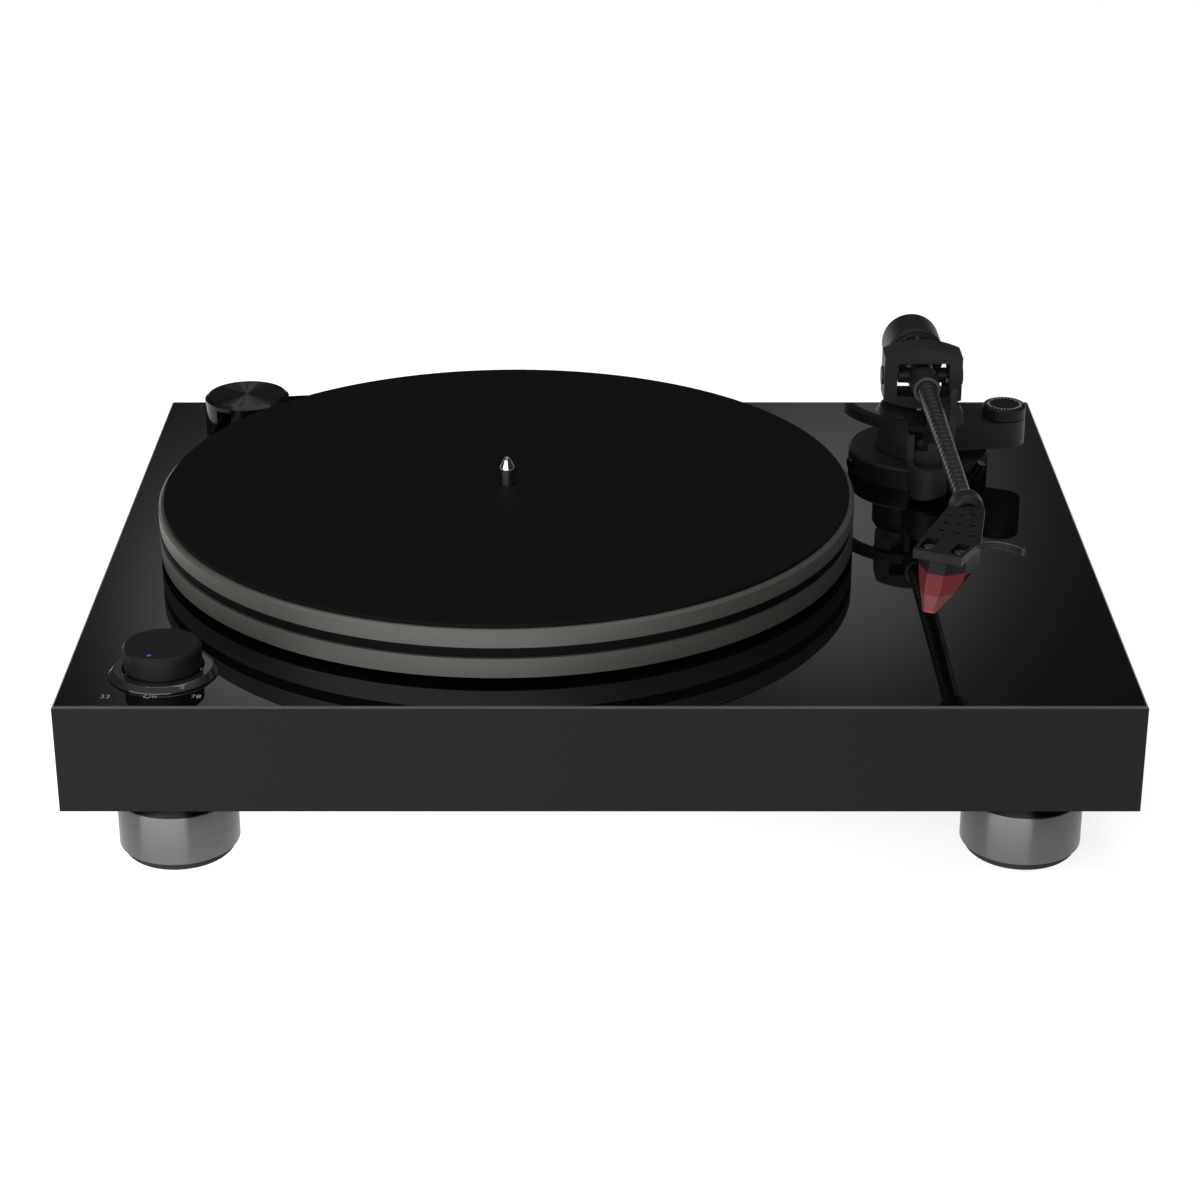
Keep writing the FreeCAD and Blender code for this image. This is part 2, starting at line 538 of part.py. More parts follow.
def make_sockets():
    wall = "plinth_depth / 2 - 9.5"
    height = "deck - 24"
    places = {"power": "panel_left + 12", "left": "panel_left + 28", "right": "panel_left + 43",
              "ground": "panel_left + 60"}
    panel = block("panel", ("panel_left + 0.2", "panel_right - 0.2"), (wall, f"{wall} + 2"),
                  ("deck - 33.8", "deck - 14.2"))
    openings = [rod_along_y("hole_" + key, 4.2, wall, f"{wall} + 2", places[key], height)
                for key in ("left", "right")]
    openings += [rod_along_y("hole_power", 5.6, wall, f"{wall} + 2", places["power"], height)]
    post = rod_along_y("ground_post", 2, f"{wall} - 4", f"{wall} + 9", places["ground"], height)
    node("connector_plate", join("panel_with_post", [cut("panel_cut", panel, openings), post]))
    jacks = []
    for key in ("left", "right"):
        barrel = join("jack_body_" + key, [
            rod_along_y("jack_" + key, 4.15, f"{wall} - 8", f"{wall} + 9.2", places[key], height),
            rod_along_y("jack_rim_" + key, 6, f"{wall} + 2", f"{wall} + 3", places[key], height)])
        jacks.append(cut("jack_open_" + key, barrel,
                         [rod_along_y("jack_bore_" + key, 1.6, f"{wall} - 2", f"{wall} + 9.3",
                                      places[key], height)]))
    node("phono_sockets", group("phono_pair", jacks))
    inlet = cut("inlet_open",
                join("inlet_body", [
                    rod_along_y("inlet_barrel", 5.5, f"{wall} - 8", f"{wall} + 3", places["power"], height),
                    rod_along_y("inlet_rim", 6.5, f"{wall} + 2", f"{wall} + 3.2", places["power"], height)]),
                [rod_along_y("inlet_bore", 2.75, f"{wall} - 6", f"{wall} + 3.3", places["power"], height)])
    pin = rod_along_y("inlet_pin", 1, f"{wall} - 6", f"{wall} + 2.6", places["power"], height)
    node("power_inlet", join("inlet", [inlet, pin]))
    knurled = cut("thumb_nut",
                  rod_along_y("nut_blank", 5, f"{wall} + 2.4", f"{wall} + 7.4", places["ground"], height),
                  [rod_along_y("nut_bore", "2 + run_fit", f"{wall} + 2.4", f"{wall} + 7.4",
                               places["ground"], height)])
    node("ground_nut", knurled)


# ---------------------------------------------------------------- tonearm stand

def make_arm_stand():
    spot = ("arm_x", "arm_y")
    disc = turned("arm_base_blank", [
        ("stem_bore", 0), ("stem_radius", 0), ("stem_radius", 16), ("base_radius", 16),
        ("base_radius", "base_height + 15"), ("base_radius - 1", "base_height + 16"),
        ("stem_bore", "base_height + 16")], (*spot, "deck - 16"))
    slot = cut("lock_slot", sector("slot_slice", "base_radius + 1", "deck + slot_low", "deck + slot_high",
                                   *spot, -72, 36),
               [rod("slot_core", "base_radius - 5", "deck", "deck + base_height", *spot)])
    heading = FreeCAD.Vector(math.cos(math.radians(195)), math.sin(math.radians(195)), 0)
    screw_at = (f"arm_x + 28 * {heading.x:.5f}", f"arm_y + 28 * {heading.y:.5f}", "deck + 4.6")
    turn = FreeCAD.Rotation(FreeCAD.Vector(0, 0, 1), heading)
    hole = primitive("Cylinder", "set_screw_hole", {"Radius": 2.4, "Height": 8}, screw_at, turn)
    node("arm_base", cut("arm_base_slotted", disc, [slot, hole]))
    shank = primitive("Cylinder", "set_screw_shank", {"Radius": 2.4, "Height": 6}, screw_at, turn)
    socket_at = (f"arm_x + 32.6 * {heading.x:.5f}", f"arm_y + 32.6 * {heading.y:.5f}", "deck + 4.6")
    socket = primitive("Prism", "set_screw_socket", {"Circumradius": 1.2, "Height": 3}, socket_at, turn)
    node("base_set_screw", cut("set_screw", shank, [socket]))
    node("arm_base_nut", turned("base_nut", [("stem_radius", 0), ("stem_radius + 8", 0),
                                             ("stem_radius + 8", 5), ("stem_radius", 5)],
                                (*spot, "deck - deck_thickness - 5")))
    tab = cut("lever_tab", sector("tab_slice", "base_radius + 3.4", "deck + slot_low + 0.5",
                                  "deck + slot_high - 0.5", *spot, -58.5, 8),
              [rod("tab_core", "base_radius - 4", "deck", "deck + base_height", *spot)])
    angle = math.radians(-54.5)
    grip = primitive("Cylinder", "lever_grip", {"Radius": 1.9, "Height": 11},
                     (f"arm_x + {35.2 * math.cos(angle):.4f}", f"arm_y + {35.2 * math.sin(angle):.4f}",
                      "deck + 3.8"),
                     FreeCAD.Rotation(FreeCAD.Vector(0, 0, 1), FreeCAD.Vector(4.8, -2.5, 10.1)))
    node("lock_lever", join("lever", [tab, grip]))


def make_pillar():
    spot = ("arm_x", "arm_y")
    node("arm_pillar", turned("pillar", [
        ("bearing_bore", 0), ("pillar_stem", 0), ("pillar_stem", "pillar_low + 14"),
        ("pillar_radius", "pillar_low + 14"), ("pillar_radius", "pillar_top + 11"),
        ("pillar_radius - 1.8", "pillar_top + 14"), ("bearing_bore", "pillar_top + 14")],
        (*spot, "deck - 14")))
    races = []
    for name, low in (("race_low", 11), ("race_high", 25)):
        races.append(cut(name, rod(name + "_ring", "bearing_bore", f"deck + {low}", f"deck + {low} + 4",
                                   *spot),
                         [rod(name + "_bore", "arm_spindle_radius + run_fit", f"deck + {low}",
                              f"deck + {low} + 4", *spot)]))
    node("arm_bearings", group("race_pair", races))
    node("arm_spindle", rod("arm_spindle_rod", "arm_spindle_radius", "deck + 5", "deck + yoke_low + 4.2",
                            *spot))


def make_anti_skating():
    """An arm that tapers from the pillar to a round end under the dial."""
    heading = math.atan2(size("dial_y") - size("arm_y"), size("dial_x") - size("arm_x"))
    length = math.hypot(size("dial_y") - size("arm_y"), size("dial_x") - size("arm_x"))
    lean = math.acos((size("pillar_radius") - size("dial_radius")) / length)
    corners = []
    for centre, radius, angle in (("arm", "pillar_radius", heading - lean),
                                  ("dial", "dial_radius", heading - lean),
                                  ("dial", "dial_radius", heading + lean),
                                  ("arm", "pillar_radius", heading + lean)):
        corners.append((f"{centre}_x + {radius} * {math.cos(angle):.6f}",
                        f"{centre}_y + {radius} * {math.sin(angle):.6f}"))
    web = plate("skate_web", corners, "skate_high - skate_low", (0, 0, "deck + skate_low"))
    end = rod("skate_end", "dial_radius", "deck + skate_low", "deck + skate_high", "dial_x", "dial_y")
    seat = rod("skate_seat", "pillar_radius", "deck + skate_low", "deck + skate_high", "arm_x", "arm_y")
    bore = rod("dial_bore", "2 + run_fit", "deck + skate_low + 3", "deck + skate_high", "dial_x", "dial_y")
    node("antiskate_arm", cut("skate_arm", join("skate_bar", [web, end]), [seat, bore]))
    node("antiskate_dial", turned("dial", [
        (0, 0), (2, 0), (2, "skate_high - skate_low - 2.6"), ("dial_radius", "skate_high - skate_low - 2.6"),
        ("dial_radius", "dial_top - skate_low - 3.8"), ("dial_radius - 0.8", "dial_top - skate_low - 3"),
        (0, "dial_top - skate_low - 3")], ("dial_x", "dial_y", "deck + skate_low + 3")))


def make_lifting_gear():
    left, right = "pod_x - pod_radius", "pod_x + pod_radius"
    rear_low = "deck + pillar_low + 0.4"
    body = [
        rod("pod_lobe", "pod_radius", "deck + pod_low", "deck + pod_high", "pod_x", "pod_y"),
        block("pod_web", (left, right), ("pod_y", "pod_y + 7"), ("deck + pod_low", "deck + pod_high")),
        block("pod_block", (left, right), ("pod_y + 7", "arm_y - 8"), (rear_low, "deck + ledge_high")),
        block("pod_cheek", (left, f"{left} + 2.4"), ("pod_y + 7", "arm_y - 16"),
              (rear_low, "deck + ledge_high + 5")),
        block("pod_ear_foot", (right, "cue_x + 2.4"), ("pod_y + 16", "pod_y + 22"),
              ("deck + ledge_high - 6", "deck + ledge_high")),
        block("pod_ear", ("cue_x - 2.4", "cue_x + 2.4"), ("pod_y + 16", "pod_y + 22"),
              ("deck + ledge_high - 6", "deck + cue_height + 3")),
        rod("pod_damper", "pod_radius - 2.1", "deck + pod_low - 1.4", "deck + pod_low + 2",
            "pod_x - 1.8", "pod_y - 1.6"),
    ]
    cuts = [
        rod("pod_seat", "pillar_radius", "deck", "deck + 40", "arm_x", "arm_y"),
        rod("pod_dish", "pod_radius - 2.4", "deck + pod_high - 3.2", "deck + 30", "pod_x", "pod_y"),
        block("pod_trough", ("pod_x - pod_radius + 2.4", "pod_x + pod_radius - 2.4"),
              ("pod_y", "pod_y + 9"), ("deck + pod_high - 3.2", "deck + 30")),
        rod("screw_well", 3, "deck + ledge_high - 3.5", "deck + 30", "pod_x - 2.8", "pod_y + 11.5"),
        block("screw_mouth", ("pod_x - 5.8", "pod_x + 0.2"), ("pod_y + 8", "pod_y + 11.5"),
              ("deck + ledge_high - 3.5", "deck + 30")),
        rod("pin_bore", "lift_pin_radius + 0.1", "deck", "deck + 40", "lift_pin_x", "lift_pin_y"),
        rod_along_y("ear_bore", "1.5 + run_fit", "pod_y + 16", "pod_y + 22", "cue_x", "deck + cue_height"),
    ]
    node("lift_pod", cut("pod", join("pod_solid", body), cuts))
    bar = cut("lift_arc", sector("lift_slice", "lift_radius + 2", "deck + lift_low", "deck + lift_high",
                                 "arm_x", "arm_y", 196, 60),
              [rod("lift_core", "lift_radius - 2", "deck", "deck + 40", "arm_x", "arm_y")])
    web = block("lift_web", ("lift_pin_x - 7", "lift_pin_x + 2.2"),
                ("lift_pin_y - 11.5", "lift_pin_y + 2.2"), ("deck + lift_low", "deck + lift_low + 2.4"))
    pin = rod("lift_pin", "lift_pin_radius", "deck + 12", "deck + lift_low + 1", "lift_pin_x",
              "lift_pin_y")
    node("lift_bar", join("lifter", [bar, web, pin]))
    middle = "deck + cue_height"
    lever = [
        rod_along_y("cue_disc", "cue_disc_radius", "pod_y + 12.8", "pod_y + 15.6", "cue_x", middle),
        rod_along_y("cue_axle", 1.5, "pod_y + 11", "pod_y + 21", "cue_x", middle),
        block("cue_bar", ("cue_x - 1.5", "cue_x + 1.5"), ("pod_y + 10", "pod_y + 12.8"),
              (f"{middle} - 7.5", f"{middle} + 12.5")),
        rod_along_y("cue_tip", 1.5, "pod_y + 10", "pod_y + 12.8", "cue_x", f"{middle} + 12.5"),
    ]
    node("cue_lever", join("cue", lever))


# ---------------------------------------------------------------- gimbal and arm

def on_arm(name, near_radius, far_radius, near, far):
    """A cone or cylinder on the arm's axis, between two distances ahead of its pivot."""
    at = (f"arm_x + ({near}) * arm_drift", f"arm_y - ({near})",
          f"deck + pivot_height + ({near}) * arm_rise")
    direction = FreeCAD.Vector(size("arm_drift"), -1, size("arm_rise"))
    turn = FreeCAD.Rotation(FreeCAD.Vector(0, 0, 1), direction)
    length = f"(({far}) - ({near})) * sqrt(1 + arm_drift ^ 2 + arm_rise ^ 2)"
    if near_radius == far_radius:
        return primitive("Cylinder", name, {"Radius": near_radius, "Height": length}, at, turn)
    return primitive("Cone", name, {"Radius1": near_radius, "Radius2": far_radius, "Height": length}, at,
                     turn)


def make_gimbal():
    level = "deck + pivot_height"
    frame = block("yoke_block", ("arm_x - yoke_half", "arm_x + yoke_half"),
                  ("arm_y - yoke_depth", "arm_y + yoke_depth"), ("deck + yoke_low", "deck + yoke_high"))
    arches = [rod_along_y("yoke_crown", "yoke_arch", "arm_y - 10", "arm_y + 10", "arm_x",
                          "deck + yoke_high - yoke_arch"),
              rod_along_y("yoke_sole", "yoke_arch", "arm_y - 10", "arm_y + 10", "arm_x",
                          "deck + yoke_low + yoke_arch")]
    across = "arm_y - 10", "arm_y + 10"
    openings = [
        block("window_wide", ("arm_x - window_half", "arm_x + window_half"), across,
              (f"{level} - window_reach + window_round", f"{level} + window_reach - window_round")),
        block("window_tall", ("arm_x - window_half + window_round", "arm_x + window_half - window_round"),
              across, (f"{level} - window_reach", f"{level} + window_reach")),
        rod_along_x("yoke_bore", 3, "arm_x - 20", "arm_x + 20", "arm_y", level),
        rod("yoke_socket", "arm_spindle_radius", "deck + 30", "deck + yoke_low + 4.2", "arm_x", "arm_y"),
    ]
    for i, (side, end) in enumerate((("-", "-"), ("-", "+"), ("+", "-"), ("+", "+"))):
        inward, back = ("+" if side == "-" else "-"), ("+" if end == "-" else "-")
        openings.append(rod_along_y(f"window_corner_{i}", "window_round", *across,
                                    f"arm_x {side} window_half {inward} window_round",
                                    f"{level} {end} window_reach {back} window_round"))
    post = block("lead_post", ("arm_x + window_half - 2.6", "arm_x + window_half + 1"),
                 ("arm_y - 4", "arm_y + 1"), (f"{level} - window_reach - 1", f"{level} - 3.9"))
    frame_cut = cut("yoke_frame", overlap("yoke_shape", [frame] + arches), openings)
    node("gimbal_yoke", join("yoke", [frame_cut, post]))
    cups = []
    for side, sign in (("left", "-"), ("right", "+")):
        inner = f"arm_x {sign} window_half"
        outer = f"arm_x {sign} (yoke_half + 0.9)"
        face = f"arm_x {sign} yoke_half"
        ends = (outer, inner) if sign == "-" else (inner, outer)
        lid = (outer, face) if sign == "-" else (face, outer)
        pocket = (f"arm_x {sign} 16.6", inner) if sign == "-" else (inner, f"arm_x {sign} 16.6")
        plug = join("cup_" + side, [rod_along_x("cup_plug_" + side, 3, *ends, "arm_y", level),
                                    rod_along_x("cup_lid_" + side, 4.2, *lid, "arm_y", level)])
        cups.append(cut("cup_open_" + side, plug,
                        [rod_along_x("cup_bore_" + side, "1.2 + run_fit", *pocket, "arm_y", level)]))
    node("gimbal_bearings", group("cup_pair", cups))


def make_arm():
    level = "deck + pivot_height"
    solid = [
        on_arm("block_barrel", "block_radius", "block_radius", -9, 9),
        on_arm("block_collar", "collar_radius", "block_radius + 0.3", 9, 21.5),
        rod_along_x("block_stubs", 3.5, "arm_x - window_half + 1", "arm_x + window_half - 1", "arm_y",
                    level),
        rod_along_x("block_axle", 1.2, "arm_x - 16.2", "arm_x + 16.2", "arm_y", level),
        on_arm("weight_stub", "stub_radius", "stub_radius", -40, -8),
    ]
    node("arm_block", cut("pivot_block", join("pivot_solid", solid),
                          [on_arm("tube_socket", "tube_root", "tube_root", 12, 22)]))
    outer = [on_arm("tube_taper", "tube_root", "tube_end", 12, 158),
             on_arm("tube_tail", "tube_end", "tube_end", 158, 163.5)]
    inner = [on_arm("tube_bore", "tube_root - tube_wall", "tube_end - tube_wall", 12, 158),
             on_arm("tube_bore_end", "tube_end - tube_wall", "tube_end - tube_wall", 157.9, 163.6)]
    node("arm_tube", cut("tube", join("tube_solid", outer), inner))
    nut = [on_arm("nut_back", "nut_radius - 1.2", "nut_radius", "nut_near", "nut_near + 1.2"),
           on_arm("nut_middle", "nut_radius", "nut_radius", "nut_near + 1.2", "nut_far - 1.6"),
           on_arm("nut_front", "nut_radius", "nut_radius - 1.6", "nut_far - 1.6", "nut_far")]
    node("headshell_collar", cut("nut", join("nut_solid", nut),
                                 [on_arm("nut_bore", "tube_end + 0.1", "tube_end + 0.1", "nut_near - 1",
                                         "nut_far + 1")]))


def make_counterweight():
    bush = cut("bush", on_arm("bush_solid", "bush_radius", "bush_radius", -48.4, -21.5),
               [on_arm("bush_bore", "stub_radius + run_fit", "stub_radius + run_fit", -46.9, -21)])
    node("weight_bush", bush)
    ring = cut("scale", on_arm("scale_solid", "scale_radius", "scale_radius", -25.7, -22),
               [on_arm("scale_bore", "bush_radius + run_fit", "bush_radius + run_fit", -26, -21)])
    node("force_scale_ring", ring)
    weight = [on_arm("weight_rear", "weight_radius - 0.8", "weight_radius", "-weight_far",
                     "0.8 - weight_far"),
              on_arm("weight_middle", "weight_radius", "weight_radius", "0.8 - weight_far",
                     "-weight_near - 0.8"),
              on_arm("weight_front", "weight_radius", "weight_radius - 0.8", "-weight_near - 0.8",
                     "-weight_near")]
    node("counterweight", cut("weight", join("weight_solid", weight),
                              [on_arm("weight_bore", "bush_radius + run_fit", "bush_radius + run_fit",
                                      -52, -25)]))


# ---------------------------------------------------------------- headshell and cartridge

def head_turn():
    return FreeCAD.Rotation(FreeCAD.Vector(0, 0, 1), size("head_turn"))


def head_place(x, y, height):
    """A point given across and behind the cartridge screws, as expressions in the part's frame."""
    turn = math.radians(size("head_turn"))
    cos, sin = f"{math.cos(turn):.6f}", f"{math.sin(turn):.6f}"
    return (f"head_x + ({x}) * {cos} - ({y}) * ({sin})", f"head_y + ({x}) * ({sin}) + ({y}) * {cos}",
            f"deck + {height}")


def head_rod(name, radius, x, y, low, high):
    return primitive("Cylinder", name, {"Radius": radius, "Height": f"({high}) - ({low})"},
                     head_place(x, y, low), head_turn())


def head_block(name, x, y, low, high):
    return primitive("Box", name, {"Length": f"({x[1]}) - ({x[0]})", "Width": f"({y[1]}) - ({y[0]})",
                                   "Height": f"({high}) - ({low})"}, head_place(x[0], y[0], low),
                     head_turn())


def make_headshell():
    low, top = "head_top - head_thick", "head_top"
    shell = plate("shell_plate", [(-9.8, -8.5), (10.2, -8.5), (11, 10.8), (0.3, 44.9), (-13.2, 38.1)],
                  "head_thick", head_place(0, 0, low), head_turn())
    neck = on_arm("shell_neck", 3.2, 3.2, "nut_far - 6.8", "nut_far + 12")
    pocket = plate("shell_pocket", [(-9.3, 11.6), (9.1, 11.6), (1.2, 37.4), (0.4, 38.4), (-11, 33.4)],
                   "head_thick - 1.3", head_place(0, 0, low), head_turn())
    cuts = [pocket]
    for row in range(3):
        for column in range(3):
            x = -8.9 + 1.2 * row + (4.15 + 1.05 * row) * column
            y = 30.8 - 7.9 * row + (2.15 - 1.25 * row) * column
            cuts.append(head_rod(f"vent_{row}{column}", 1.3, f"{x:.2f}", f"{y:.2f}", low, f"{top} + 1"))
    for side in ("-", ""):
        name = "slot_left" if side else "slot_right"
        x = f"{side}screw_half"
        for part, radius, depth in (("wide", 2.6, 3), ("narrow", 1.4, 5)):
            floor = f"{top} - {depth}"
            cuts += [head_rod(f"{name}_{part}_front", radius, x, "-3.6", floor, f"{top} + 1"),
                     head_rod(f"{name}_{part}_rear", radius, x, "3.5", floor, f"{top} + 1"),
                     head_block(f"{name}_{part}_span", (f"{x} - {radius}", f"{x} + {radius}"),
                                ("-3.6", "3.5"), floor, f"{top} + 1")]
    node("headshell", cut("shell", join("shell_solid", [shell, neck]), cuts))
    screws = []
    for side in ("-", ""):
        name = "screw_left" if side else "screw_right"
        x = f"{side}screw_half"
        screws.append(join("cartridge_" + name, [
            head_rod(name + "_head", 2.3, x, "0", f"{top} - 3", f"{top} - 1.4"),
            head_rod(name + "_shank", 1.25, x, "0", "41", f"{top} - 2")]))
    node("cartridge_screws", group("cartridge_screw_pair", screws))
    node("finger_lift", plate("lift_strip", [
        (10.942, 9.4), (12.8, 11.9), (15.4, 13.4), (18.3, 13.9), (21.6, 13.7), (24.8, 12.8), (28, 11.3),
        (28.7, 12.9), (25.3, 14.5), (21.8, 15.4), (18.2, 15.6), (15, 15.1), (12.5, 13.8), (11, 10.8)], 3,
        head_place(0, 0, "head_top - 3.3"), head_turn()))


def facet_ring(half, back, facet, inset, height):
    """A level outline of the cartridge's nose: flat back, and a front with two slanted facets."""
    front = -7 - (43.8 - height) * 0.476
    corners = [(-half, back), (half, back), (half, front + inset), (facet, front), (-facet, front),
               (-half, front + inset)]
    points = [FreeCAD.Vector(x, y, height) for x, y in corners]
    return Part.makePolygon(points + points[:1])


def make_cartridge():
    """The cartridge's body, its pins, and the faceted nose that the stylus housing continues."""
    top = "head_top - head_thick"
    half = "cartridge_half"
    nose_low, nose_high = size("nose_low"), size("head_top") - size("head_thick")
    nose = Part.makeLoft([facet_ring(9.6, -1, 3.4, 6.8, nose_low),
                          facet_ring(9.6, -1, 3.4, 4.6, nose_high)], True, True)
    body = [head_block("cartridge_flange", (f"-{half} - 0.6", f"{half} + 0.6"), ("-4", "8"),
                       f"{top} - 2", top),
            head_block("cartridge_box", (f"-{half}", half), ("-3", "18.5"), "cartridge_low",
                       f"{top} - 2"),
            built("cartridge_nose", nose, head_place(0, 0, 0), head_turn())]
    pins = []
    for i, (x, height) in enumerate(((-3, 39), (3, 39), (-3, 42), (3, 42))):
        pins.append(primitive("Cylinder", f"pin_{i}", {"Radius": 0.6, "Height": 4},
                              head_place(x, 18, height),
                              FreeCAD.Rotation(FreeCAD.Vector(0, 0, 1), size("head_turn"))
                              .multiply(TOWARDS_Y)))
    holes = [head_rod("flange_hole_left", 1.25, "-screw_half", "0", "41", top),
             head_rod("flange_hole_right", 1.25, "screw_half", "0", "41", top)]
    node("cartridge_body", cut("cartridge", join("cartridge_solid", body + pins), holes))


def make_stylus():
    """The stylus housing wraps the cartridge below its nose and narrows to a foot ahead of it."""
    top, waist, foot = size("nose_low"), size("cartridge_low"), size("stylus_low")
    half = size("cartridge_half")
    cover = Part.makeLoft([facet_ring(9.6, -1, 3.4, 6.8, top),
                           facet_ring(8.9, -1, 3.4, 7.3, waist)], True, True)
    lower = Part.makeLoft([facet_ring(8.9, 8, 3.4, 7.3, waist), facet_ring(7, 1, 3, 5.6, 33),
                           facet_ring(2.6, -11, 1.4, 0.9, foot)], True, True)
    room = Part.makeBox(2 * half, 20, top - waist, FreeCAD.Vector(-half, -3, waist))
    housing = cover.cut(room).fuse(lower).removeSplitter()
    node("stylus_unit", built("stylus_housing", housing, head_place(0, 0, 0), head_turn()))
    tilt = FreeCAD.Rotation(FreeCAD.Vector(0, 0, 1), size("head_turn"))
    rod_way = FreeCAD.Vector(0, -4.2, -1.6)
    cantilever = primitive("Cylinder", "cantilever", {"Radius": 0.3, "Height": 4.4},
                           head_place(0, -8.4, "stylus_low + 1"),
                           tilt.multiply(FreeCAD.Rotation(FreeCAD.Vector(0, 0, 1), rod_way)))
    tip = primitive("Cone", "diamond", {"Radius1": 0.12, "Radius2": 0.35, "Height": 0.9},
                    head_place(0, -12.3, "stylus_low - 1"), tilt)
    stone = join("needle", [cantilever, tip])
    node("stylus_cantilever", cut("needle_clear", stone, [built("housing_shadow", housing,
                                                                head_place(0, 0, 0), head_turn())]))


def make_leads():
    """Four thin leads from the arm's neck to the pins at the back of the cartridge."""
    runs = []
    for x, height, start in ((-3, 39, -1.5), (3, 39, 1.5), (-3, 42, -0.6), (3, 42, 0.6)):
        points = [(x, 22.1, height), (x, 26, height), (x * 0.5 - 3.5 + start, 33, height + 1),
                  (start - 5.4, 40, 44.6)]
        runs.append(lead(points, 0.35))
    node("cartridge_leads", built("lead_set", Part.makeCompound(runs), head_place(0, 0, 0), head_turn()))


def make_cables():
    """The cables inside the plinth: arm to sockets, sockets to board, board to motor."""
    roof = size("deck") - size("deck_thickness")
    socket_y = size("plinth_depth") / 2 - 17.6
    arm, panel = (size("arm_x"), size("arm_y")), size("panel_left")
    signal = lead([(arm[0], arm[1], roof - 3), (arm[0], arm[1], roof - 16),
                   (arm[0] - 6, arm[1] + 22, roof - 20), (panel + 35, socket_y - 26, roof - 16),
                   (panel + 28, socket_y - 10, roof - 12), (panel + 28, socket_y, roof - 12)], 1.6)
    power = lead([(panel + 12, socket_y, roof - 12), (panel + 12, socket_y - 14, roof - 12),
                  (panel - 30, socket_y - 60, roof - 18), (20, 40, roof - 20), (-30, -34, roof - 20),
                  (-56, -36, roof - 12), (-69.9, -36, roof - 8.8)], 1.6)
    motor_y = size("motor_y") - size("motor_radius")
    motor = lead([(size("motor_x"), motor_y, roof - 14), (size("motor_x"), motor_y - 16, roof - 14),
                  (size("motor_x") + 14, 50, roof - 18), (-158, -8, roof - 14),
                  (-150.1, -20, roof - 8.8)], 1.3)
    node("internal_cables", built("cable_set", Part.makeCompound([signal, power, motor])))


def check_and_export():
    """Stop on any failed object, then write each node's file."""
    doc.recompute()
    for item in doc.Objects:
        if "Invalid" in item.State or "Error" in item.State:
            raise RuntimeError(f"{item.Name} failed: {item.State}")
    os.makedirs("parts", exist_ok=True)
    for name, item in nodes:
        shape = item.Shape
        if shape.isNull() or not shape.isValid() or not shape.Solids:
            raise RuntimeError(f"{name} is not a valid solid")
        shape.exportStep(f"parts/{name}.step")
        print(f"{name}: {len(shape.Solids)} solids, {shape.Volume / 1000:.2f} cm3")
    print(len(nodes), "nodes")


node("plinth", make_plinth())
node("bottom_cover", make_bottom_cover())
node("case_screws", group("case_screw_set", [case_screw(name, spot)
                                             for name, spot in case_screw_spots().items()]))
make_feet()
make_platter_group()
make_bearing()
make_deck_screws()
make_motor()
make_belt()
make_speed_selector()
make_electronics()
make_sockets()
make_arm_stand()
make_pillar()
make_anti_skating()
make_lifting_gear()
make_gimbal()
make_arm()
make_counterweight()
make_headshell()
make_cartridge()
make_stylus()
make_leads()
make_cables()
check_and_export()
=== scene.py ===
import math

import bmesh
import bpy
from mathutils import Matrix, Vector


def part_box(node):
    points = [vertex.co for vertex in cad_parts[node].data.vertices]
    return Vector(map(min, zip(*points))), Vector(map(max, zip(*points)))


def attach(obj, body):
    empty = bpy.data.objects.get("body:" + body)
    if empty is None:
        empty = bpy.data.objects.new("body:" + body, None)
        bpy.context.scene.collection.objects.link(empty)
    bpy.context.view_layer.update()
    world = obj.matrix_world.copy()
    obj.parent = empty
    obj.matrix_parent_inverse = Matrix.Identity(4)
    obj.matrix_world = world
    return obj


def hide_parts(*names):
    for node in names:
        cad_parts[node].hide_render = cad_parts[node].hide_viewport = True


# The looks of a belt-driven record player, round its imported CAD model. Lengths are in metres in the
# CAD's own frame: the origin is on the floor under the plinth, +Z is up and the front faces -Y.
MM = 0.001
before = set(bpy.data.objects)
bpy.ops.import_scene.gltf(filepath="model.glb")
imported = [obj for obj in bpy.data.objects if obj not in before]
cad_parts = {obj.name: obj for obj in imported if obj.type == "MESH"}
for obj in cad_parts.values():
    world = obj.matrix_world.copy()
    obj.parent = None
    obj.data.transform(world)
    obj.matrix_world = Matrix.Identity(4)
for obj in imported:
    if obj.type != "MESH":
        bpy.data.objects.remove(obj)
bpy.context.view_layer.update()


def middle(node):
    """The centre of a CAD node's box."""
    low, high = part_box(node)
    return (low + high) / 2


def radius(node):
    """Half the width of a CAD node that was turned about +Z."""
    low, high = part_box(node)
    return (high.x - low.x) / 2


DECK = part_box("plinth")[1].z
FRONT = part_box("plinth")[0].y
PLATTER = middle("platter")
KNOB = middle("speed_knob")
CAP = middle("motor_cap")
ARM = middle("arm_base")
DIAL = middle("antiskate_dial")
STYLUS_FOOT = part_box("stylus_unit")[0].z
STYLUS_HEIGHT = 0.0135
# The arm: its pivot, the way it points at rest, and the frame of the headshell, whose origin is on
# the deck under the middle of the two cartridge screws.
PIVOT = Vector((ARM.x, ARM.y, DECK + 44.4 * MM))
AHEAD = Vector((0.0058, -1, 0.0119)).normalized()
HEAD = Matrix.Translation((0.13385, -0.1283, DECK)) @ Matrix.Rotation(math.radians(-27), 4, "Z")
FRONT_MARKS = FRONT + 0.009         # the printed speeds stand on this line
MARK_HEIGHT = 0.0042


# ---------------------------------------------------------------- shader building

